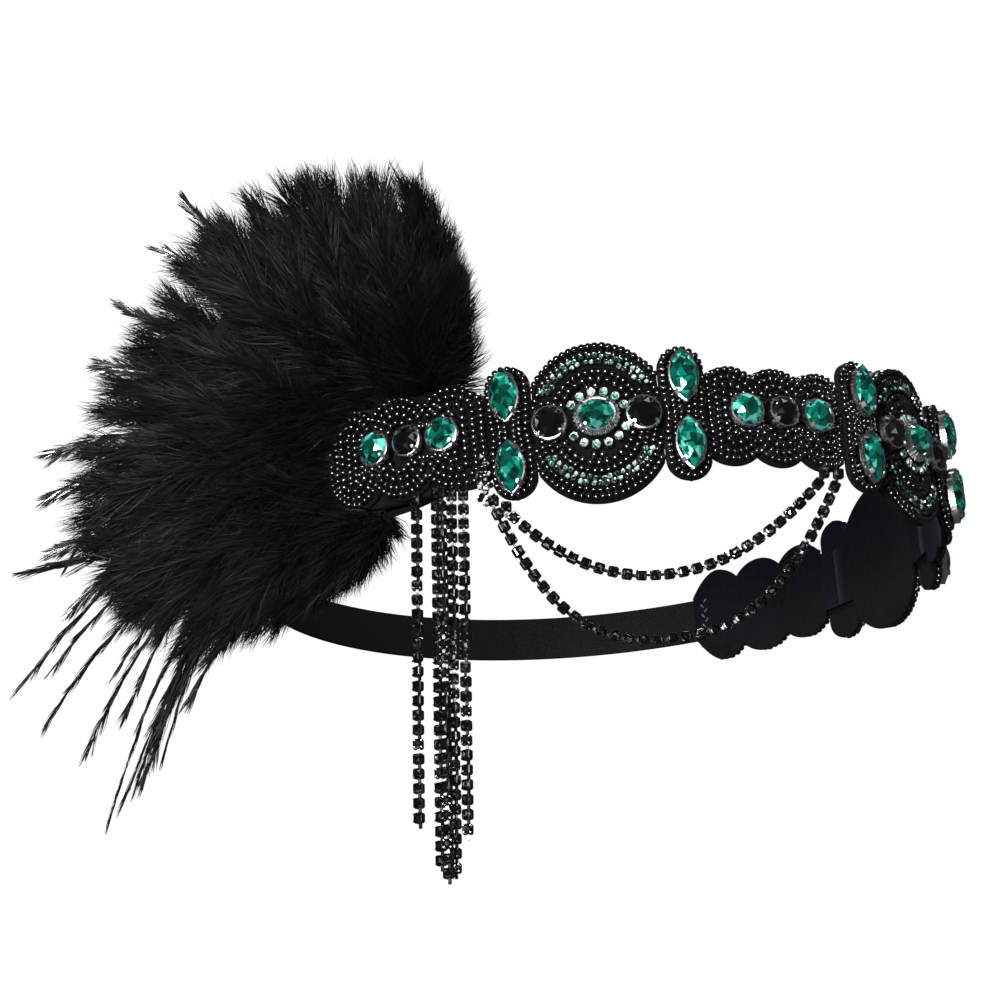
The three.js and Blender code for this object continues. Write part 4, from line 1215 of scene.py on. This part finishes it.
root_turn = np.interp(END_PANEL, oval_run, oval_turns)
root_out = outwards(np.array(END_PANEL))
root_back = np.cross(root_out, [0, 0, 1.0])
root_foot = np.array([-HEAD_BREADTH / 2 * math.sin(root_turn), -HEAD_LENGTH / 2 * math.cos(root_turn), 0])
plume_root = root_foot + root_out * ROOT_ABOVE + [0, 0, ROOT_RAISED]
plume_rng = np.random.default_rng(23)

feather = Finish("black_marabou")
feather.set(
    base_color=feather.attribute("tone").ramp((0.0, (0.006, 0.006, 0.005)), (0.55, (0.0075, 0.0074, 0.0061)),
                                              (1.0, (0.0125, 0.012, 0.01))),
    roughness=(feather.attribute("tone") * 0.2 + 0.5),
    specular_ior_level=0.1,
)
coque = Finish("glossy_coque")
coque.set(
    base_color=coque.attribute("tone").ramp((0.0, (0.002, 0.002, 0.002)), (1.0, (0.03, 0.03, 0.032))),
    roughness=(coque.attribute("tone") * 0.15 + 0.26),
    specular_ior_level=0.75,
)


def fan(angle, values):
    """A value of the fan at any angle, from its table of locks."""
    return float(np.interp(angle, lock_angle, values))


def felt_edge(angle):
    """How far the feather felt reaches from the root, in a direction of the fan."""
    turn = math.radians(angle)
    along = abs(math.cos(turn) / (FEATHER_FELT["length"] / 2)) ** 3
    across = abs(math.sin(turn) / (FEATHER_FELT["height"] / 2)) ** 3
    return (along + across) ** (-1 / 3)


def quill_route(angle, reach, flare, droop, depth, steps=24, hook=2.0, bow=0.0):
    """A feather's middle line, from under the felt to its tip, before the band is tilted."""
    turn = math.radians(angle)
    share = np.linspace(0, 1, steps)[:, None]
    flat = root_back * math.cos(turn) + np.array([0, 0, math.sin(turn)])
    across = np.cross(root_out, flat)
    length = reach * PLUME_REACH
    start = plume_root + flat * (felt_edge(angle) - QUILL_TUCK)
    tip = plume_root + flat * length + root_out * length * math.tan(math.radians(flare))
    route = start + (tip - start) * share
    route[:, 2] -= droop * PLUME_REACH * share[:, 0] ** hook
    swell = np.sin(math.pi * share ** 0.8)
    return route + root_out * swell * depth + across * swell * bow


def barbs(route, clumps, each, length, lean, width, start=0.0, flatten=1.0, cling=0.5, trim=True, wave=0.07):
    """Barbs in clumps along a quill, as thin leaves with a point at both ends, and their tones."""
    count = clumps * each
    steps = np.arange(len(route))
    spread = lambda values: np.repeat(values, each, axis=0)
    at = lambda where: sample(route, steps, where)

    def sent(spot, turn, leaning):
        index = spot * steps[-1]
        way = at(index + 0.5) - at(index - 0.5)
        way = unit(way)
        side = np.cross(way, root_out)
        side = unit(side)
        sideways = side * np.cos(turn)[:, None] + np.cross(side, way) * (flatten * np.sin(turn))[:, None]
        return at(index), way * np.cos(leaning)[:, None] + sideways * np.sin(leaning)[:, None]

    clump_spot = start + (1 - start) * (np.arange(clumps) + plume_rng.uniform(0, 1, clumps)) / clumps
    clump_turn = plume_rng.uniform(0, 2 * math.pi, clumps)
    clump_lean = np.radians(np.interp(clump_spot, [0, 0.12, 1], lean) + plume_rng.normal(0, 5, clumps))
    clump_length = length * plume_rng.uniform(0.75, 1.1, clumps)
    clump_length = clump_length * np.interp(clump_spot, [0, 0.15, 0.8, 1], [0.6, 1, 1, 0.8])
    clump_base, clump_way = sent(clump_spot, clump_turn, clump_lean)
    spot = np.clip(spread(clump_spot) + plume_rng.normal(0, 0.015, count), start, 1)
    turn = spread(clump_turn) + plume_rng.normal(0, 0.35, count)
    base, way = sent(spot, turn, spread(clump_lean) + plume_rng.normal(0, 0.13, count))
    reach = (spread(clump_length) * plume_rng.uniform(0.7, 1.05, count))[:, None]
    tip = base + way * reach
    clump_tip = spread(clump_base + clump_way * clump_length[:, None])
    tip = tip * (1 - cling) + clump_tip * cling + plume_rng.normal(0, 0.03, (count, 3)) * reach
    tip[:, 2] -= reach[:, 0] * 0.06
    if trim:
        away = tip - plume_root
        back = away @ root_back
        limit = np.interp(np.degrees(np.arctan2(away[:, 2], back)), edge_angle, edge_reach)
        limit = limit * spread(np.clip(plume_rng.normal(1.0, 0.035, clumps), 0.92, 1.09))
        over = (np.hypot(away[:, 2], back) - limit) / reach[:, 0]
        keep = np.clip(1 - over, 0.15, 1)[:, None]
        tip = base + (tip - base) * keep
        reach = reach * keep
    control = base + way * reach * 0.5 + plume_rng.normal(0, wave, (count, 3)) * reach
    across = np.cross(way, root_out + plume_rng.normal(0, 0.55, (count, 3)))
    across = unit(across)
    across *= width * plume_rng.uniform(0.35, 0.65, (count, 1))
    rings = [base]
    for share, wide in ((0.3, 1.0), (0.66, 0.8)):
        middle = base * (1 - share) ** 2 + control * 2 * share * (1 - share) + tip * share ** 2
        rings += [middle - across * wide, middle + across * wide]
    tones = np.clip(spread(plume_rng.beta(2, 4, clumps)) * 0.7 + plume_rng.beta(1.5, 4, count) * 0.5, 0, 1)
    return np.stack([*rings, tip], 1), tones


BARB_FACES = np.array([(0, 2, 1), (1, 2, 4), (1, 4, 3), (3, 4, 5)])


def quill_tube(route, thick):
    """A tapered shaft of four sides along a route."""
    count = len(route)
    way = np.gradient(route, axis=0)
    side = np.cross(way, root_out)
    side = unit(side)
    out = np.cross(side, way)
    out = unit(out)
    size = (thick * np.linspace(1, 0.15, count))[:, None]
    points = np.stack([route + side * size, route + out * size, route - side * size, route - out * size], 1)
    return points.reshape(-1, 3), triangles_of(rings_joined(count, 4))


def add_feathers(name, made, quills, finish):
    """Barbs and quills joined as one piece."""
    ribbons = np.concatenate([points for points, _ in made])
    tones = np.concatenate([tones for _, tones in made])
    shifts = np.arange(len(ribbons)) * ribbons.shape[1]
    points = [ribbons.reshape(-1, 3)]
    faces = [(BARB_FACES[None] + shifts[:, None, None]).reshape(-1, 3)]
    face_tones = [np.repeat(tones, len(BARB_FACES))]
    shift = len(points[0])
    for quill_points, quill_faces in quills:
        points.append(quill_points)
        faces.append(quill_faces + shift)
        face_tones.append(np.full(len(quill_faces), 0.6))
        shift += len(quill_points)
    points, faces = worn(np.concatenate(points)), np.concatenate(faces)
    mesh = bpy.data.meshes.new(name)
    mesh.vertices.add(len(points))
    mesh.vertices.foreach_set("co", points.astype(np.float32).ravel())
    mesh.loops.add(faces.size)
    mesh.loops.foreach_set("vertex_index", faces.astype(np.int32).ravel())
    mesh.polygons.add(len(faces))
    mesh.polygons.foreach_set("loop_start", np.arange(0, faces.size, 3, dtype=np.int32))
    mesh.update(calc_edges=True)
    mesh.polygons.foreach_set("use_smooth", [True] * len(faces))
    set_values(mesh, "tone", np.concatenate(face_tones))
    put_on_band(name, mesh, finish.material)


# The down is thick enough inside to hide the light, so a dark core fills the middle of the fan; its low tone
# is painted shade for the deep inside of the down.
CORE_REACH = 0.74
# A tone darker than the barbs': painted shade.
CORE_SHADE_TONE = 0.1
core_angles = np.linspace(-50, 127, 60)
sheets = []
for side in (1, -1):
    sheets.append(np.array([
        quill_route(angle, fan(angle, lock_reach) * CORE_REACH, fan(angle, lock_flare),
                    fan(angle, lock_droop) * 0.5,
                    side * PLUME_HALF_THICK * 0.5 * fan(angle, lock_thick), steps=12)
        for angle in core_angles
    ]))
columns, rows = len(core_angles), 12
core_faces = []
for side in (0, 1):
    for column in range(columns - 1):
        for row in range(rows - 1):
            corner = side * columns * rows + column * rows + row
            face = (corner, corner + 1, corner + rows + 1, corner + rows)
            core_faces.append(face if side else face[::-1])
core_points = worn(np.concatenate(sheets).reshape(-1, 3))
core = add_piece("plume_core", core_points, core_faces, feather.material, "feather", ["feather_plume"])
set_values(core.data, "tone", np.full(len(core.data.polygons), CORE_SHADE_TONE))

LAYERS = 5
FEATHERS_PER_LAYER = 30
CLUMPS_PER_FEATHER = 95
BARBS_PER_CLUMP = 10
for layer in range(LAYERS):
    made, quills = [], []
    depth_share = 2 * (layer + 0.5) / LAYERS - 1
    for index in range(FEATHERS_PER_LAYER):
        angle = -56 + 185 * (index + plume_rng.uniform(0.1, 0.9)) / FEATHERS_PER_LAYER
        size = plume_rng.choice([0.62, 0.76, 0.88], p=[0.25, 0.35, 0.4])
        depth = depth_share * PLUME_HALF_THICK * fan(angle, lock_thick) * plume_rng.uniform(0.6, 1.0)
        reach = max(fan(angle, lock_reach) * size, 0.32)
        route = quill_route(angle, reach, fan(angle, lock_flare), fan(angle, lock_droop), depth,
                            bow=plume_rng.normal(0, 2.5 * MM))
        made.append(barbs(route, CLUMPS_PER_FEATHER, BARBS_PER_CLUMP, 15 * MM, (18, 46, 17), 0.21 * MM,
                          start=0.02, cling=0.38, wave=0.1))
        quills.append(quill_tube(route, 0.25 * MM))
    add_feathers(f"marabou_layer_{layer + 1}", made, quills, feather)

COQUES = [
    # angle, reach as a share of the fan's, droop, hook, depth in mm
    (52, 0.99, 0.02, 3, -2),
    (40, 1.0, 0.04, 3, -5),
    (30, 0.97, 0.05, 3, 2),
    (16, 1.02, 0.1, 4, -3),
    (9, 1.0, 0.1, 4, 3),
    (0, 1.0, 0.1, 3, -2),
    (-9, 1.02, 0.12, 3, 2),
    (60, 1.0, 0.0, 2, -6),
]
made, quills = [], []
for angle, size, droop, hook, depth in COQUES:
    route = quill_route(angle, fan(angle, lock_reach) * size, fan(angle, lock_flare), droop, depth * MM,
                        hook=hook, bow=plume_rng.normal(0, 4 * MM))
    made.append(barbs(route, 75, 9, 9 * MM, (22, 30, 14), 0.42 * MM, start=0.45, flatten=0.12, cling=0.6,
                      trim=False, wave=0.02))
    quills.append(quill_tube(route, 0.4 * MM))
add_feathers("coque_feathers", made, quills, coque)

WISPS = [
    # where the tip comes, back, up and out in reaches; the angle it leaves at; how late it hooks
    {"tip": (1.11, -0.16, 0.38), "leave": -9, "hook": 3, "depth": 0, "strands": 2},
    {"tip": (0.99, -0.145, 0.34), "leave": 9, "hook": 5, "depth": 2, "strands": 1},
    {"tip": (1.16, -0.49, 0.37), "leave": -4, "hook": 2.8, "depth": -2, "strands": 2},
    {"tip": (1.09, -0.6, 0.34), "leave": -12, "hook": 2.8, "depth": 1, "strands": 2},
    {"tip": (0.99, -0.72, 0.305), "leave": -17, "hook": 2.9, "depth": 3, "strands": 2},
    {"tip": (0.93, -0.93, 0.29), "leave": -18, "hook": 3, "depth": 0, "strands": 4},
    {"tip": (0.875, -0.86, 0.27), "leave": -22, "hook": 3, "depth": -3, "strands": 3},
    {"tip": (0.78, -0.71, 0.24), "leave": -28, "hook": 2.6, "depth": 2, "strands": 2},
]
made, quills = [], []
for wisp in WISPS:
    for strand in range(wisp["strands"]):
        back_share, up_share, out_share = wisp["tip"]
        angle = wisp["leave"] + plume_rng.normal(0, 1.5)
        shorter = 1 - (0 if strand == 0 else plume_rng.uniform(0.03, 0.2))
        reach = back_share / math.cos(math.radians(angle)) * shorter
        droop = reach * math.sin(math.radians(angle)) - up_share * shorter
        flare = math.degrees(math.atan(out_share * shorter / reach))
        route = quill_route(angle, reach, flare, droop, wisp["depth"] * MM, steps=40, hook=wisp["hook"])
        made.append(barbs(route, 44, 8, 9 * MM, (8, 9, 4), 0.28 * MM, start=0.25, flatten=0.6, cling=0.85,
                          trim=False, wave=0.025))
        quills.append(quill_tube(route, 0.3 * MM))
add_feathers("hackle_wisps", made, quills, feather)

# The studio: a plain pale floor and soft light, and a camera a little below the band.
# The headband is held in the air, as on a head, so the floor lies well under it.
AZIMUTH = math.radians(-57.4)
ELEVATION = math.radians(-15.6)
CAMERA_DISTANCE = 0.9
LENS = 123.4
AIM_RIGHT = -25.2 * MM
AIM_UP = 10.5 * MM
FLOOR_HEIGHT = -0.9

back = Vector((
    math.sin(AZIMUTH) * math.cos(ELEVATION),
    -math.cos(AZIMUTH) * math.cos(ELEVATION),
    math.sin(ELEVATION),
))
right = Vector((math.cos(AZIMUTH), math.sin(AZIMUTH), 0))
up = back.cross(right)
camera_data = bpy.data.cameras.new("camera")
camera_data.lens = LENS
camera_data.sensor_width = 36
camera_data.clip_start = 0.01
camera = bpy.data.objects.new("camera", camera_data)
bpy.context.scene.collection.objects.link(camera)
camera.location = back * CAMERA_DISTANCE
aim = right * AIM_RIGHT + up * AIM_UP
camera.rotation_euler = (aim - camera.location).to_track_quat("-Z", "Y").to_euler()
bpy.context.scene.camera = camera
bpy.context.scene.view_settings.view_transform = "Standard"

bpy.ops.mesh.primitive_plane_add(size=12, location=(0, 0, FLOOR_HEIGHT))
floor = bpy.context.object
floor.name = "floor"
floor.visible_glossy = False
floor.visible_diffuse = False
paper = Finish("floor")
paper.set(base_color=(0.9, 0.9, 0.9), roughness=0.9, emission_color=(1, 1, 1), emission_strength=0.75)
floor.data.materials.append(paper.material)
floor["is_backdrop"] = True

world = bpy.data.worlds.new("studio")
bpy.context.scene.world = world
world.use_nodes = True
sky = Socket(world.node_tree, None)
room = sky.node("ShaderNodeBackground", Color=(1, 1, 1, 1), Strength=0.05)
backdrop = sky.node("ShaderNodeBackground", Color=(1, 1, 1, 1), Strength=1.05)
seen = sky.node("ShaderNodeLightPath", output="Is Camera Ray")
choice = sky.node("ShaderNodeMixShader", i0=seen, i1=room, i2=backdrop)
world.node_tree.links.new(choice.socket, world.node_tree.nodes["World Output"].inputs["Surface"])


def lamp(name, azimuth, elevation, distance, size, power, mirrored=True, soft=True):
    """An area lamp that faces the band. One that isn't mirrored leaves no spot on glossy things,
    and one that isn't soft only makes the spots."""
    turn, rise = math.radians(azimuth), math.radians(elevation)
    data = bpy.data.lights.new(name, "AREA")
    data.size = size
    data.energy = power
    light = bpy.data.objects.new(name, data)
    bpy.context.scene.collection.objects.link(light)
    light.location = (
        distance * math.sin(turn) * math.cos(rise),
        -distance * math.cos(turn) * math.cos(rise),
        distance * math.sin(rise),
    )
    light.rotation_euler = (-light.location).to_track_quat("-Z", "Y").to_euler()
    light.visible_glossy = mirrored
    light.visible_diffuse = soft


lamp("key", -80, 38, 1.1, 0.3, 14, mirrored=False)
lamp("front", -20, 12, 1.2, 0.3, 3, mirrored=False)
lamp("sparkle", -74, -4, 1.2, 0.2, 44, soft=False)
lamp("side", -105, -8, 1.2, 0.12, 1.2)
lamp("soft_front", -55, 10, 1.3, 0.8, 7, mirrored=False)
lamp("soft_low", -60, -30, 1.3, 0.5, 3, mirrored=False)
lamp("rim", 120, 40, 1.3, 0.4, 9)
lamp("soft_back", 150, 20, 1.3, 0.8, 6, mirrored=False)

sizes = {"cad": cad_bounds, "visual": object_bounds()}
